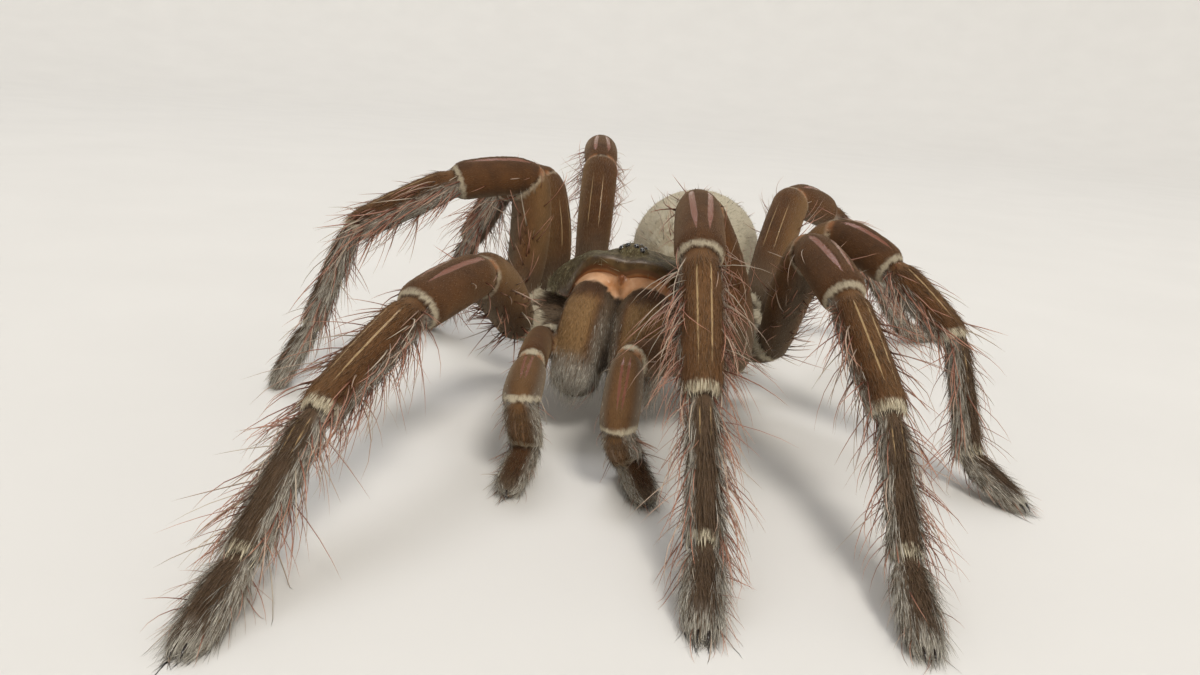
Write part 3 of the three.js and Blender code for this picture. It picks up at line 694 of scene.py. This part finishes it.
class Ground:
    """The faces that roots stand on, with their places on the animal."""

    def __init__(self, points, faces, places=None):
        corners = points[faces]
        cross = np.cross(corners[:, 1] - corners[:, 0], corners[:, 2] - corners[:, 0])
        self.corners = corners
        self.area = np.linalg.norm(cross, axis=1) / 2
        around = np.zeros((len(points), 3))
        for k in range(3):
            np.add.at(around, faces[:, k], cross)
        self.normal = unit(unit(around)[faces].mean(1))
        if places is not None:
            self.places = Places(corners.mean(1), places.piece[faces[:, 0]])

    def at(self, face, roots):
        """The places of roots on the animal, the normals of their faces and how many there are."""
        return Places(roots, self.places.piece[face]), self.normal[face], len(face)

    def scatter(self, rng, density):
        """Random roots with so many per square millimetre of each face."""
        wanted = self.area * density
        count = np.floor(wanted + rng.random(len(wanted))).astype(int)
        face = np.repeat(np.arange(len(count)), count)
        a, b = rng.random((2, len(face), 1))
        flip = (a + b > 1)[:, 0]
        a[flip], b[flip] = 1 - a[flip], 1 - b[flip]
        c = self.corners[face]
        return face, c[:, 0] + (c[:, 1] - c[:, 0]) * a + (c[:, 2] - c[:, 0]) * b


def flat_to(normals, ways):
    """Turns each way to lie along the ground."""
    return unit(ways - normals * np.einsum("nj,nj->n", ways, normals)[:, None] + 1e-6)


def lie_of(places, normals):
    """The way the coat lies: outward along every piece, turning into the next near its end."""
    along, onward = AXES[places.piece, 1], AXES[NEXT[places.piece], 1]
    share = step(COAT_TURN, 0.0, places.to_end)[:, None]
    return flat_to(normals, along * (1 - share) + onward * share)


def spread_about(rng, middle, part, count):
    """Numbers scattered about a middle by a part of it, without far outliers."""
    return middle * np.clip(rng.normal(1, part, count), max(0.2, 1 - 2.2 * part), 1 + 2.2 * part)


# ---- Short coat and locks ----

# Tufts per square millimetre, length, width and lift in degrees: the short coat.
SHORT = dict(
    coxa=(9, 0.9, 0.12, 18), femur=(9, 0.85, 0.1, 12), patella=(9.5, 0.7, 0.09, 11),
    tibia=(11.5, 1.15, 0.11, 11), metatarsus=(13, 1.4, 0.11, 16), tarsus=(14.5, 1.2, 0.11, 18),
    palp_femur=(9, 0.8, 0.11, 10), palp_patella=(10, 0.7, 0.1, 8), palp_tibia=(12, 1.0, 0.11, 12),
    palp_tarsus=(13, 1.2, 0.11, 16), chelicera=(18, 0.9, 0.09, 8), abdomen=(9, 1.0, 0.11, 11),
    pedicel=(5, 0.8, 0.16, 20), spinneret=(10, 0.8, 0.12, 16), sternum=(6, 1.2, 0.16, 20),
)
# Longer locks among it.
LOCKS = dict(
    coxa=(0.8, 1.6, 0.12, 24), tibia=(2.0, 2.3, 0.11, 17), metatarsus=(3.4, 2.7, 0.13, 22),
    tarsus=(3.6, 2.3, 0.13, 24), palp_tibia=(2.0, 2.0, 0.12, 20), palp_tarsus=(3.0, 2.2, 0.12, 24),
    chelicera=(1.6, 1.7, 0.1, 12), abdomen=(0.6, 1.8, 0.11, 20), sternum=(1.0, 2.2, 0.15, 30),
)


def grow_coat(name, ground, wanted, table, joints, rng, material):
    """One piece of coat on the chosen faces, from a table of how it grows on each kind."""
    density, length, width, lift = columns(table, ground.places.kind)
    face, roots = ground.scatter(rng, density * wanted)
    marks = markings(ground.at(face, roots)[0])
    keep = rng.random(len(face)) > np.maximum(marks.pop("bare"), marks["orange"] * 0.8)
    face, roots = face[keep], roots[keep]
    marks = {key: values[keep] for key, values in marks.items()}
    here, normals, count = ground.at(face, roots)
    lies = flat_to(normals, lie_of(here, normals) + rng.normal(0, 0.09, (count, 3)))
    ring = marks["pale"]
    short = 1 - 0.4 * step(1.6, 0.2, here.to_end) * ~EGG[here.piece]
    short *= 1 - 0.5 * step(0.0, -0.25, here.t) * here.of("chelicera")
    tall = spread_about(rng, length[face] * short, 0.2, count)
    thick = spread_about(rng, width[face] * (1 + 0.3 * ring), 0.2, count)
    raised = np.radians(spread_about(rng, lift[face] + 10 * ring, 0.35, count))
    size = (tall, thick, raised, -raised * 0.6)
    piece = tuft_piece(name, roots, normals, lies, size, joints, bake_places(here), rng)
    marks["silver"] = (rng.random(count) < marks["silver"] * 0.7) * 1.0
    mark_piece(piece, marks)
    finish_piece(piece, material)


# ---- Long hairs ----

# How many per square millimetre, length, and the degrees from the back between which they stand.
# A look is their width, lift, how far they bend back down, splay and joints.
# Stiff rosy hairs on the sides of the limbs.
ROSY_HAIRS = dict(
    femur=(0.32, 5.6, 80, 180), patella=(0.06, 4.6, 70, 150), tibia=(0.85, 7.0, 56, 165),
    metatarsus=(1.2, 6.4, 42, 160), tarsus=(0.5, 3.6, 42, 150), coxa=(0.5, 4.0, 90, 180),
    palp_femur=(0.16, 3.4, 80, 180), palp_patella=(0.06, 2.6, 60, 160),
    palp_tibia=(0.4, 3.4, 50, 170), palp_tarsus=(0.3, 3.0, 50, 170), chelicera=(0.12, 2.8, 60, 180),
    abdomen=(0.04, 3.0, 0, 180),
)
ROSY_LOOK = (0.24, 48, 34, 0.2, 4)
# Softer silver hairs that fringe the feet and the ends of the jaws.
SILVER_HAIRS = dict(
    tibia=(0.5, 2.8, 60, 165), metatarsus=(2.6, 2.8, 36, 165), tarsus=(4.6, 2.5, 30, 165),
    palp_tibia=(1.2, 2.0, 45, 170), palp_tarsus=(2.6, 2.2, 40, 170), coxa=(0.4, 2.0, 60, 180),
    chelicera=(3.2, 2.8, 0, 150), femur=(0.06, 2.6, 100, 180), abdomen=(0.1, 2.6, 0, 180),
)
SILVER_LOOK = (0.15, 26, 6, 0.18, 3)


def grow_hairs(name, ground, wanted, table, look, rng, material):
    """One piece of long curved hairs on the chosen faces."""
    places = ground.places
    density, length, low, high = columns(table, places.kind)
    band = step(low - 12, low + 12, places.off_back) * step(high + 14, high - 14, places.off_back)
    jaw_end = np.where(places.of("chelicera"), step(0.5, 0.95, places.t), 1)
    rear_side = 1 - 0.4 * np.sign(places.angle) * ~places.of("chelicera", "tibia")
    hairy = HAIRY[places.piece] * jaw_end * rear_side
    face, roots = ground.scatter(rng, density * band * hairy * wanted)
    here, normals, count = ground.at(face, roots)
    width, lift, bend, splay, joints = look
    lies = flat_to(normals, lie_of(here, normals) + rng.normal(0, splay, (count, 3)))
    tall = spread_about(rng, length[face], 0.3, count)
    raised = np.radians(spread_about(rng, lift, 0.28, count))
    curl = -np.radians(spread_about(rng, bend, 0.5, count))
    sway = rng.normal(0, 0.1, (count, 3)) - UP * 0.14
    thick = spread_about(rng, width, 0.15, count) * np.clip(tall / 6, 0.4, 1.1)
    size = (tall, thick, raised, curl)
    piece = tuft_piece(name, roots, normals, lies, size, joints, bake_places(here), rng, sway)
    finish_piece(piece, material)


# ---- Carapace, eyes, fangs and claws ----


def carapace_half_width(ahead):
    face = 1 - CARAPACE["narrowing"] * step(0, CARAPACE["length"] / 2, ahead)
    return CARAPACE["width"] / 2 * face


def carapace_rim(across, ahead):
    """The height of the shell's edge, which arches up over the jaws."""
    arch = CARAPACE["brow"] - 5.0 * (across / 9.3) ** 4 - 0.9 * hill(across, 1.7)
    k = step(5, 13, ahead)
    return CARAPACE["rim"] * (1 - k) + np.maximum(CARAPACE["rim"], arch) * k


def carapace_ridge(ahead):
    """The height of the shell along its middle, with a pit in it."""
    k = step(-17, -4, ahead)
    rear = CARAPACE["rear"] * (1 - k) + CARAPACE["dome"] * k
    rise = (CARAPACE["head"] - CARAPACE["dome"]) * step(1, 9, ahead)
    return rear + rise - 0.9 * hill(ahead + PIT_BEHIND, 2)


def mound_rise(across, ahead, margin):
    """How high the eye mound stands above its foot, when it is wider by a margin all round."""
    x = across / (TUBERCLE["width"] / 2 + margin)
    y = (ahead - TUBERCLE["ahead"]) / (TUBERCLE["length"] / 2 + margin)
    return TUBERCLE["height"] * np.sqrt(np.maximum(0, 1 - x * x - y * y))


def carapace_grid(around=160, rings=90):
    """The shell's points on its body frame, with its grooves, pit and eye mound."""
    shrink = COAT_DEPTH["carapace"]
    half = CARAPACE["length"] / 2 - shrink
    from_rim = np.linspace(-1, 1, rings)
    polar = math.pi / 2 + (math.pi / 2 - 0.012) * np.sign(from_rim) * np.abs(from_rim) ** 1.7
    turn = full_turn(around)
    bx = np.outer(np.sin(polar), np.cos(turn))
    by = np.outer(np.sin(polar), np.sin(turn))
    bz = np.outer(np.cos(polar), np.ones(around))
    blunt = np.where(by < 0, 0.72, 0.9)
    tuck = 1 - 0.1 * step(0.0015, 0.03, -bz) * (by < 0)
    y = np.sign(by) * np.abs(by) ** blunt * half * tuck
    ahead = -y
    slack = np.sqrt(np.maximum(1e-9, 1 - by * by))
    oval = np.sqrt(np.maximum(0, 1 - np.abs(y / tuck / half) ** 2.6))
    x = bx / slack * oval * (carapace_half_width(ahead) - shrink)
    rim = carapace_rim(x, ahead)
    dip = 0.5 * hill(np.abs(bx) - 0.34, 0.1) * step(0.3, 0.8, bz) * (by < 0)
    fullness = 1.35 + 0.8 * np.minimum(by, 0)
    rise = (carapace_ridge(ahead) - rim - shrink) * np.maximum(0, bz) ** fullness - dip
    drop = (rim - CARAPACE["underside"]) * np.minimum(1, np.maximum(0, -bz) ** 0.45)
    z = np.where(bz > 0, rim + rise, rim - drop)
    top = step(0.05, 0.3, bz)
    from_pit = np.hypot(x, ahead + PIT_BEHIND)
    bearing = np.degrees(np.arctan2(np.abs(x), ahead + PIT_BEHIND))
    for groove in (32, 62, 92, 122, 152):
        line = hill(bearing - groove, 5.0) * step(1.5, 4, from_pit) * step(16, 9, from_pit)
        z -= 0.34 * line * top
    z -= 0.8 * hill(np.abs(x), 1.6) * hill(ahead + PIT_BEHIND + 0.1, 0.7) * top
    mound = mound_rise(x, ahead, 0.35)
    z = np.where((bz > 0) & (mound > 0), np.maximum(z, TUBERCLE["foot"] + mound), z)
    return np.stack([x, y, z], -1), bz, ahead, from_pit


def make_carapace():
    """The shell over head and back, and what is needed to grow felt on it."""
    grid, bz, ahead, from_pit = carapace_grid()
    points = grid.reshape(-1, 3) @ BODY_TURN.T + BODY_MIDDLE
    faces = ring_faces(grid.shape[0], grid.shape[1])[:, ::-1]
    shell = mesh_piece("carapace_shell", points, faces)
    below_rim = carapace_rim(grid[..., 0], ahead) - grid[..., 2]
    front, under = step(7.5, 11.5, ahead), step(0.3, 0.5, below_rim)
    reach = 0.46 * (1 - (grid[..., 0] / 13) ** 2)
    marks = dict(
        rust=front * step(-0.6, 0.1, below_rim),
        brow=front * step(0.1, -0.08, bz - reach) * step(0.5, 0.3, below_rim),
        rim=(1 - front) * step(0.9, 0.3, np.abs(below_rim)) * 0.6,
        under=under * (1 - front),
        # Painted shade: the wall under the front of the brow is marked to take a darker copy of the soft
        # band's colour.
        peach=under * front * step(10.5, 8, np.abs(grid[..., 0])),
    )
    mark_piece(shell, marks)
    turn = np.arctan2(grid[..., 0], ahead + PIT_BEHIND) * np.maximum(from_pit, 2)
    add_values(shell, "grain", np.stack([from_pit, turn, np.zeros_like(turn)], -1))
    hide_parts("carapace")
    finish_piece(shell, make_material(felted_shell))
    brow = marks["brow"].ravel()[faces].mean(1)
    return Ground(points, faces), grid.reshape(-1, 3)[faces].mean(1), brow


def make_eye(name, side, material):
    """A clear dome in a low collar, looking away from the middle of the mound."""
    across, ahead, size = EYES[name]
    foot = TUBERCLE["foot"]
    middle = np.array([side * across, -ahead, foot + mound_rise(across, ahead, 0.0)])
    out = unit(middle - np.array([0, -TUBERCLE["ahead"], foot - 0.6]))
    side_way = unit(np.cross(out, UP))
    axes = np.array([np.cross(side_way, out), out, side_way])
    bend = np.linspace(0.04, math.pi / 2, 9)
    radius = size / 2 * np.concatenate([np.sin(bend), [1.0, 1.1, 1.2, 1.24, 0.7]])
    along = size / 2 * np.concatenate([np.cos(bend), [-0.16, 0.0, -0.06, -0.4, -0.8]])
    points, faces = tube(middle, axes, along, radius, radius, 0 * along, 28)
    label = f"eye_{SIDE_NAME[side]}_{name}"
    eye = mesh_piece(label + "_lens", points @ BODY_TURN.T + BODY_MIDDLE, faces)
    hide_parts(label)
    finish_piece(eye, material)


def curved_horn(root, axes, size, sides, rings, keel):
    """A tapering horn bent round an arc, with a low keel along its inner bend."""
    bend = size["bend"]
    t = np.linspace(0, 0.985, rings)
    around = full_turn(sides)
    radius = size["thickness"] / 2 * (1 - t) ** 0.7
    ridge = 1 + keel * hill(np.degrees(np.abs(around - math.pi / 2)), 26)
    x = np.outer(radius, np.cos(around) * 0.9)
    z = np.outer(radius, np.sin(around) * ridge)
    angle = (t * size["length"] / bend)[:, None]
    local = np.stack([x, np.sin(angle) * (bend - z), bend - np.cos(angle) * (bend - z)], -1)
    return local.reshape(-1, 3) @ axes + root, ring_faces(rings, sides)


def make_fang(side, material):
    """A curved fang under a jaw."""
    across, ahead, above = FANG["place"]
    axes = limb_axes(side, 180, FANG["rise"])
    label = f"fang_{SIDE_NAME[side]}"
    shape = curved_horn(on_body(side * across, ahead, above), axes, FANG, 28, 40, 0.08)
    fang = mesh_piece(label + "_horn", *shape)
    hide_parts(label)
    finish_piece(fang, material)


def make_claws(material):
    """Two small hooked claws at the tip of every foot and one at each palp."""
    spreads = {"tarsus": (-CLAW["spread"], CLAW["spread"]), "palp_tarsus": (0,)}
    shapes = []
    for piece in PIECES:
        flat = unit(piece.axes[1] * (1, 1, 0))
        across = np.cross(flat, UP)
        for spread in spreads.get(piece.kind, ()):
            root = piece.end + across * spread - flat * CLAW["inset"]
            root[2] = CLAW["height"]
            points, faces = curved_horn(root, np.array([across, flat, -UP]), CLAW, 10, 12, 0.0)
            points[:, 2] = np.maximum(points[:, 2], HAIR_GAP)
            shapes.append((points, faces))
    finish_piece(mesh_piece("claws", *join_shapes(shapes)), material)


# ---- Materials ----

BROWN, GOLDEN, FAWN, GREY, SILVER = "#352110", "#684321", "#896a44", "#605140", "#b9b4a8"
CREAM, ABDOMEN_CREAM, TAN, DARK = "#cbc1a8", "#bab29c", "#806b4c", "#1c140d"


def linear(hex_colour):
    """An sRGB hex colour as linear red, green, blue and alpha."""
    parts = [int(hex_colour[i:i + 2], 16) / 255 for i in (1, 3, 5)]
    return [c / 12.92 if c <= 0.04045 else ((c + 0.055) / 1.055) ** 2.4 for c in parts] + [1.0]


def add_node(tree, kind, inputs=(), output=0, **settings):
    """Adds a node and gives one of its outputs. Inputs are by name or in order, and each is a
    number, a hex colour, the name of a mark on the piece, or the output that feeds it."""
    node = tree.nodes.new("ShaderNode" + kind)
    for name, value in settings.items():
        setattr(node, name, value)
    for name, value in inputs.items() if isinstance(inputs, dict) else enumerate(inputs):
        if isinstance(value, str) and not value.startswith("#"):
            value = add_node(tree, "Attribute", output="Fac", attribute_name=value)
        if isinstance(value, bpy.types.NodeSocket):
            tree.links.new(value, node.inputs[name])
        else:
            node.inputs[name].default_value = linear(value) if isinstance(value, str) else value
    return node.outputs[output] if node.outputs else None


def make_material(surface):
    """A material named for its surface, which is a function that gives the shader's inputs."""
    material = bpy.data.materials.new(surface.__name__)
    material.use_nodes = True
    tree = material.node_tree
    tree.nodes.clear()
    shader = add_node(tree, "BsdfPrincipled", surface(tree))
    add_node(tree, "OutputMaterial", {"Surface": shader})
    return material


def lay_colours(tree, colour, *layers):
    """Lays colours over one another; each layer is its share and its colour."""
    for share, above in layers:
        colour = add_node(tree, "Mix", {0: share, 6: colour, 7: above}, 2, data_type="RGBA")
    return colour


def patchy(tree, patches_per_mm, low, high, low_part=0.0, high_part=1.0):
    """Soft uneven patches through the piece, from low_part to high_part."""
    place = add_node(tree, "TexCoord", output="Object")
    cloud = add_node(tree, "TexNoise", dict(Vector=place, Scale=patches_per_mm / MM, Detail=3.0))
    return add_node(tree, "MapRange", [cloud, low, high, low_part, high_part])


def streaks_along(tree, across_per_mm, along_per_mm):
    """Fine streaks that run the way the coat lies, on the skin's own measure in millimetres."""
    grain = add_node(tree, "Attribute", output="Vector", attribute_name="grain")
    scale = (along_per_mm, across_per_mm, 1.0)
    drawn = add_node(tree, "Mapping", dict(Vector=grain, Scale=scale))
    return add_node(tree, "TexNoise", dict(Vector=drawn, Scale=1.0, Detail=3.0))


def coat_colours(tree):
    """The animal's markings as one colour, from the marks that skin and coat both carry."""
    uneven, spots = patchy(tree, 0.33, 0.3, 0.7, 0.5, 1.25), patchy(tree, 0.42, 0.38, 0.6, 0.0, 0.7)
    golden = add_node(tree, "Math", ["gold", uneven], operation="MULTIPLY")
    tan = add_node(tree, "Math", ["tan", spots], operation="MULTIPLY")
    return lay_colours(
        tree, BROWN, (golden, GOLDEN), ("fawn", FAWN), ("grey", GREY), ("cream", ABDOMEN_CREAM),
        (tan, TAN), ("pale", CREAM), ("silver", SILVER), ("dark", DARK),
    )


def hair_tone(tree, colour, **spans):
    """Darkens a hair toward its root and gives each hair its own shade."""
    for mark, (low, high) in spans.items():
        part = add_node(tree, "MapRange", [mark, 0.0, 1.0, low, high])
        colour = add_node(tree, "VectorMath", {0: colour, "Scale": part}, operation="SCALE")
    return colour


def velvet_hair(tree):
    """Short chitin hair lying in fine tufts: a dull velvet that lightens a little at the edges."""
    colour = hair_tone(tree, coat_colours(tree), tip=(0.95, 1.25), shade=(0.82, 1.22))
    return {
        "Base Color": colour, "Roughness": 0.45, "Specular IOR Level": 0.45, "Sheen Weight": 0.15,
        "Sheen Tint": "#d8b98e",
    }


def rosy_hair(tree):
    """Long stiff chitin hair: red-brown at the root, salmon toward the tip, with a slight shine."""
    bleached = add_node(tree, "MapRange", ["shade", 0.6, 0.95])
    colour = lay_colours(tree, "#663626", ("tip", "#cb957a"), (bleached, "#bcae9a"))
    return {"Base Color": colour, "Roughness": 0.35, "Specular IOR Level": 0.5}


def silver_hair(tree):
    """Thin pale hair with little colour of its own, grey at the root and whitish at the tip."""
    colour = lay_colours(tree, "#655d50", ("tip", "#cbc5b8"))
    colour = hair_tone(tree, colour, tip=(0.9, 1.0), shade=(0.75, 1.1))
    return {"Base Color": colour, "Roughness": 0.4, "Specular IOR Level": 0.5}


def bare_lines(tree):
    """1 on the bare lines along the limbs, from the distance to them in millimetres."""
    out = add_node(tree, "Math", ["stripe_out"], operation="ABSOLUTE")
    half = add_node(tree, "Math", ["stripe_half", 0.01], operation="MAXIMUM")
    ratio = add_node(tree, "Math", [out, half], operation="DIVIDE")
    inside = add_node(tree, "MapRange", [ratio, 0.8, 1.15, 1.0, 0.0])
    present = add_node(tree, "MapRange", ["stripe_half", 0.02, 0.06])
    return add_node(tree, "Math", [inside, present], operation="MULTIPLY")


def membrane_colour(tree, deep, light, *layers):
    """Soft hairless skin, mottled by the blood under it."""
    return lay_colours(tree, deep, (patchy(tree, 0.3, 0.35, 0.65), light), *layers)


def velvet_skin(tree):
    """Chitin skin under its shortest hair, drawn as fine streaks half a hair's length long and a
    tenth of a millimetre apart; bare and shining on the knee lines and the soft membrane."""
    streaks = streaks_along(tree, 9.0, 1.6)
    deep = add_node(tree, "MapRange", [streaks, 0.38, 0.68, 0.0, 0.25])
    deep = add_node(tree, "Math", [deep, "cream"], operation="SUBTRACT", use_clamp=True)
    bare = bare_lines(tree)
    # The pale and rose colours of the bare lines are partly their own colour and partly a painted
    # highlight, lightened to stand for the glints along them.
    line = lay_colours(tree, "#a18963", ("rose", "#764b3b"))
    membrane = membrane_colour(tree, "#b07b50", "#d3a985", ("rust", "#74421f"))
    colour = lay_colours(
        tree, coat_colours(tree), (deep, DARK), (bare, line), ("orange", "#8f5d38"),
        ("peach", membrane),
    )
    smooth = add_node(tree, "Math", [bare, "peach"], operation="MAXIMUM")
    return {
        "Base Color": colour,
        "Roughness": add_node(tree, "MapRange", [smooth, 0.0, 1.0, 0.85, 0.14]),
        "Normal": add_node(tree, "Bump", dict(Height=streaks, Strength=0.6, Distance=0.00012)),
        "Specular IOR Level": 0.3, "Sheen Weight": 0.25, "Sheen Roughness": 0.4,
        "Sheen Tint": "#d8b98e",
    }


def felted_shell(tree):
    """Hard chitin plate under thin felt, finely pitted, with a polished dark brow over the jaws."""
    streaks = add_node(tree, "MapRange", [streaks_along(tree, 4.0, 1.0), 0.45, 0.72, 0.0, 0.6])
    brow = lay_colours(tree, "#3a2a18", (patchy(tree, 0.5, 0.4, 0.7), "#5c472c"), ("rust", "#5a3822"))
    colour = lay_colours(
        tree, "#34291a", (patchy(tree, 0.65, 0.35, 0.65), "#635a40"), (streaks, DARK),
        ("brow", brow), ("rim", "#8c806a"), ("under", "#33211a"),
        # Painted shade: a darker copy of the soft band's colour, for the recessed wall under the brow.
        ("peach", membrane_colour(tree, "#7a4829", "#9c6a44")),
    )
    pits = patchy(tree, 1.5, 0.3, 0.7)
    return {
        "Base Color": colour,
        "Roughness": add_node(tree, "MapRange", ["brow", 0.0, 1.0, 0.65, 0.3]),
        "Normal": add_node(tree, "Bump", dict(Height=pits, Strength=0.3, Distance=0.0001)),
        "Specular IOR Level": 0.4, "Specular Tint": "#e8d0ac",
    }


def felt_hair(tree):
    """Felt of very short olive-grey chitin hair with paler flecks, pale and longer along the rim."""
    fleck = add_node(tree, "MapRange", ["shade", 0.7, 0.85])
    colour = lay_colours(
        tree, "#392f1d", (patchy(tree, 0.5, 0.35, 0.65), "#665c40"), (fleck, "#989070"),
        ("fringe", "#948a6c"),
    )
    colour = hair_tone(tree, colour, tip=(0.85, 1.1), shade=(0.85, 1.15))
    return {"Base Color": colour, "Roughness": 0.5, "Specular IOR Level": 0.3}


def fang_horn(tree):
    """Hardened chitin of fangs and claws: black with a red-brown tinge and a natural polish."""
    colour = lay_colours(tree, "#0f0a09", (patchy(tree, 0.9, 0.3, 0.7), "#26140e"))
    return {"Base Color": colour, "Roughness": 0.22, "Coat Weight": 0.4, "Coat Roughness": 0.08}


def eye_lens(tree):
    """Clear lens over a black cup: nearly black, with a wet, sharp highlight."""
    colour = lay_colours(tree, "#050507", (patchy(tree, 1.5, 0.3, 0.7), "#17120f"))
    return {"Base Color": colour, "Roughness": 0.08, "Coat Weight": 1.0, "Coat Roughness": 0.02}


def matt_paper(tree):
    """Uncoated paper backdrop: even, pale and dull, with the faintest cloudiness."""
    colour = lay_colours(tree, "#dcdad5", (patchy(tree, 0.02, 0.3, 0.7), "#dfddd8"))
    return {"Base Color": colour, "Roughness": 0.9}


# ---- Felt on the carapace ----

FELT = dict(density=15, length=0.75, width=0.12, lift=11)  # tufts per square millimetre and degrees


def grow_felt(ground, local, brow, rng, material):
    """Short felt hairs on the shell, spreading outward from its pit."""
    across, ahead = local[:, 0], -local[:, 1]
    above = local[:, 2] - carapace_rim(across, ahead)
    mound = hill(across, 2.4) * hill(ahead - TUBERCLE["ahead"], 2.0)
    keep = step(-0.3, 0.1, above) * (1 - 0.8 * brow) ** 2 * (1 - 0.85 * step(0.45, 0.8, mound))
    face, roots = ground.scatter(rng, FELT["density"] * keep)
    count, normals = len(face), ground.normal[face]
    here = local[face]
    away = (here - (0, PIT_BEHIND, 0)) * (1, 1, 0) @ BODY_TURN.T
    lies = flat_to(normals, unit(away) + rng.normal(0, 0.16, (count, 3)))
    fringe = step(1.2, 0.2, above[face])
    tall = spread_about(rng, FELT["length"] + 0.9 * fringe, 0.2, count)
    lift = np.radians(spread_about(rng, FELT["lift"] + 12 * fringe, 0.3, count))
    thick = spread_about(rng, FELT["width"], 0.2, count)
    size = (tall, thick, lift, -lift * 0.6)
    places_on_map = here[:, :2] / (CARAPACE["length"] + 5) + 0.5
    piece = tuft_piece("felt_carapace", roots, normals, lies, size, 1, places_on_map, rng)
    mark_piece(piece, {"fringe": fringe})
    finish_piece(piece, material)


# ---- Stage, light and camera ----

FLAT, BEND, WALL = 1100.0, 900.0, 1300.0  # radius of the level floor, of its bend, and its height
CAMERA = dict(  # degrees round, above and rolled; the point looked at, the distance and the lens
    azimuth=17.5, height=15.1, roll=4.8, target=(-23.09, 43.51, -0.3), distance=214, lens=28.2
)


def make_stage():
    """A pale floor that curves up far away on every side."""
    bend = np.linspace(0, math.pi / 2, 12)
    radii = np.concatenate([[300.0, 700.0], FLAT + BEND * np.sin(bend), [FLAT + BEND]])
    heights = np.concatenate([[0.0, 0.0], BEND * (1 - np.cos(bend)), [WALL]])
    sides = 96
    axes = np.array([[0, 1, 0], [0, 0, 1], [1, 0, 0]])
    points, faces = tube(np.zeros(3), axes, heights, radii, radii, 0 * heights, sides)
    walls = faces[: (len(heights) - 1) * sides * 2, ::-1]
    middle = [(0, j, j + 1) for j in range(1, sides - 1)]
    floor = mesh_piece("floor", points, np.concatenate([walls, middle]))
    floor.data.materials.append(make_material(matt_paper))


def add_lamp(name, place, size, power, colour):
    """A round lamp that shines at the animal."""
    light = bpy.data.lights.new(name, "AREA")
    light.shape, light.size, light.energy = "DISK", size, power
    light.color = linear(colour)[:3]
    lamp = add_object(name, light)
    lamp.location = place
    lamp.rotation_euler = (Vector((0, 0, 0.02)) - Vector(place)).to_track_quat("-Z", "Y").to_euler()


def make_light():
    """A large soft lamp from the front, one overhead and a weak fill, in metres and watts."""
    add_lamp("key", (1.2, -1.6, 2.1), 0.75, 52, "#fffaf3")
    add_lamp("overhead", (-0.6, 1.0, 2.4), 1.2, 18, "#fafaff")
    add_lamp("fill", (-0.7, -2.1, 0.9), 0.9, 14, "#fdf8f0")
    world = bpy.data.worlds.new("studio")
    world.use_nodes = True
    glow = world.node_tree.nodes["Background"].inputs
    glow["Color"].default_value, glow["Strength"].default_value = linear("#e9e9e9"), 0.5
    bpy.context.scene.world = world
    bpy.context.scene.view_settings.view_transform = "Standard"


def make_camera():
    """In front of the animal, a little to its left, looking slightly down with a small roll."""
    azimuth, height, roll = (math.radians(CAMERA[name]) for name in ("azimuth", "height", "roll"))
    level = math.cos(height)
    back = np.array([math.sin(azimuth) * level, -math.cos(azimuth) * level, math.sin(height)])
    right = np.array([math.cos(azimuth), math.sin(azimuth), 0])
    up = np.cross(back, right)
    turned_right = right * math.cos(roll) + up * math.sin(roll)
    turned_up = up * math.cos(roll) - right * math.sin(roll)
    place = (np.array(CAMERA["target"]) + back * CAMERA["distance"]) * MM
    stance = np.eye(4)
    stance[:3] = np.stack([turned_right, turned_up, back, place], 1)
    data = bpy.data.cameras.new("camera")
    data.sensor_width, data.lens = 36, CAMERA["lens"]
    data.clip_start, data.clip_end = 0.005, 20
    camera = bpy.context.scene.camera = add_object("camera", data)
    camera.matrix_world = Matrix(stance)


# ---- Putting it together ----

COAT_PARTS = {  # the pieces that each part of the coat covers, and its slot
    "legs_left_front": (("leg_left_1", "leg_left_2"), "coat_brown"),
    "legs_left_rear": (("leg_left_3", "leg_left_4"), "coat_brown"),
    "legs_right_front": (("leg_right_1", "leg_right_2"), "coat_brown"),
    "legs_right_rear": (("leg_right_3", "leg_right_4"), "coat_brown"),
    "head": (("palp", "chelicera"), "jaw_coat"),
    "trunk": (("abdomen", "spinneret", "pedicel", "sternum", "labium", "flanks"), "abdomen_coat"),
}


def grow_coats(ground):
    """Short coat, locks and long hairs on each part, which has its own random draws."""
    velvet, rosy, silver = (make_material(hair) for hair in (velvet_hair, rosy_hair, silver_hair))
    hairs = (
        ("rosy_hairs", ROSY_HAIRS, ROSY_LOOK, rosy),
        ("silver_hairs", SILVER_HAIRS, SILVER_LOOK, silver),
    )
    names = np.array([piece.name for piece in PIECES])[ground.places.piece]
    for seed, (label, (covers, slot)) in enumerate(COAT_PARTS.items()):
        rng = np.random.default_rng(seed + 1)
        wanted = np.any([np.char.startswith(names, name) for name in covers], 0) * 1.0
        grow_coat(f"velvet_{label}", ground, wanted, SHORT, 1, rng, velvet)
        grow_coat(f"locks_{label}", ground, wanted, LOCKS, 2, rng, velvet)
        for kind, table, look, hair in hairs:
            grow_hairs(f"{kind}_{label}", ground, wanted, table, look, rng, hair)


make_camera()
make_light()
make_stage()

skin, skin_points, skin_faces, skin_places = make_skin()
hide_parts(*SKIN_NODES)
finish_piece(skin, make_material(velvet_skin))
grow_coats(Ground(skin_points, skin_faces, skin_places))

shell_ground, shell_places, shell_brow = make_carapace()
felt = make_material(felt_hair)
grow_felt(shell_ground, shell_places, shell_brow, np.random.default_rng(40), felt)
lens, horn = make_material(eye_lens), make_material(fang_horn)
for side in SIDE_NAME:
    for name in EYES:
        make_eye(name, side, lens)
    make_fang(side, horn)
make_claws(horn)
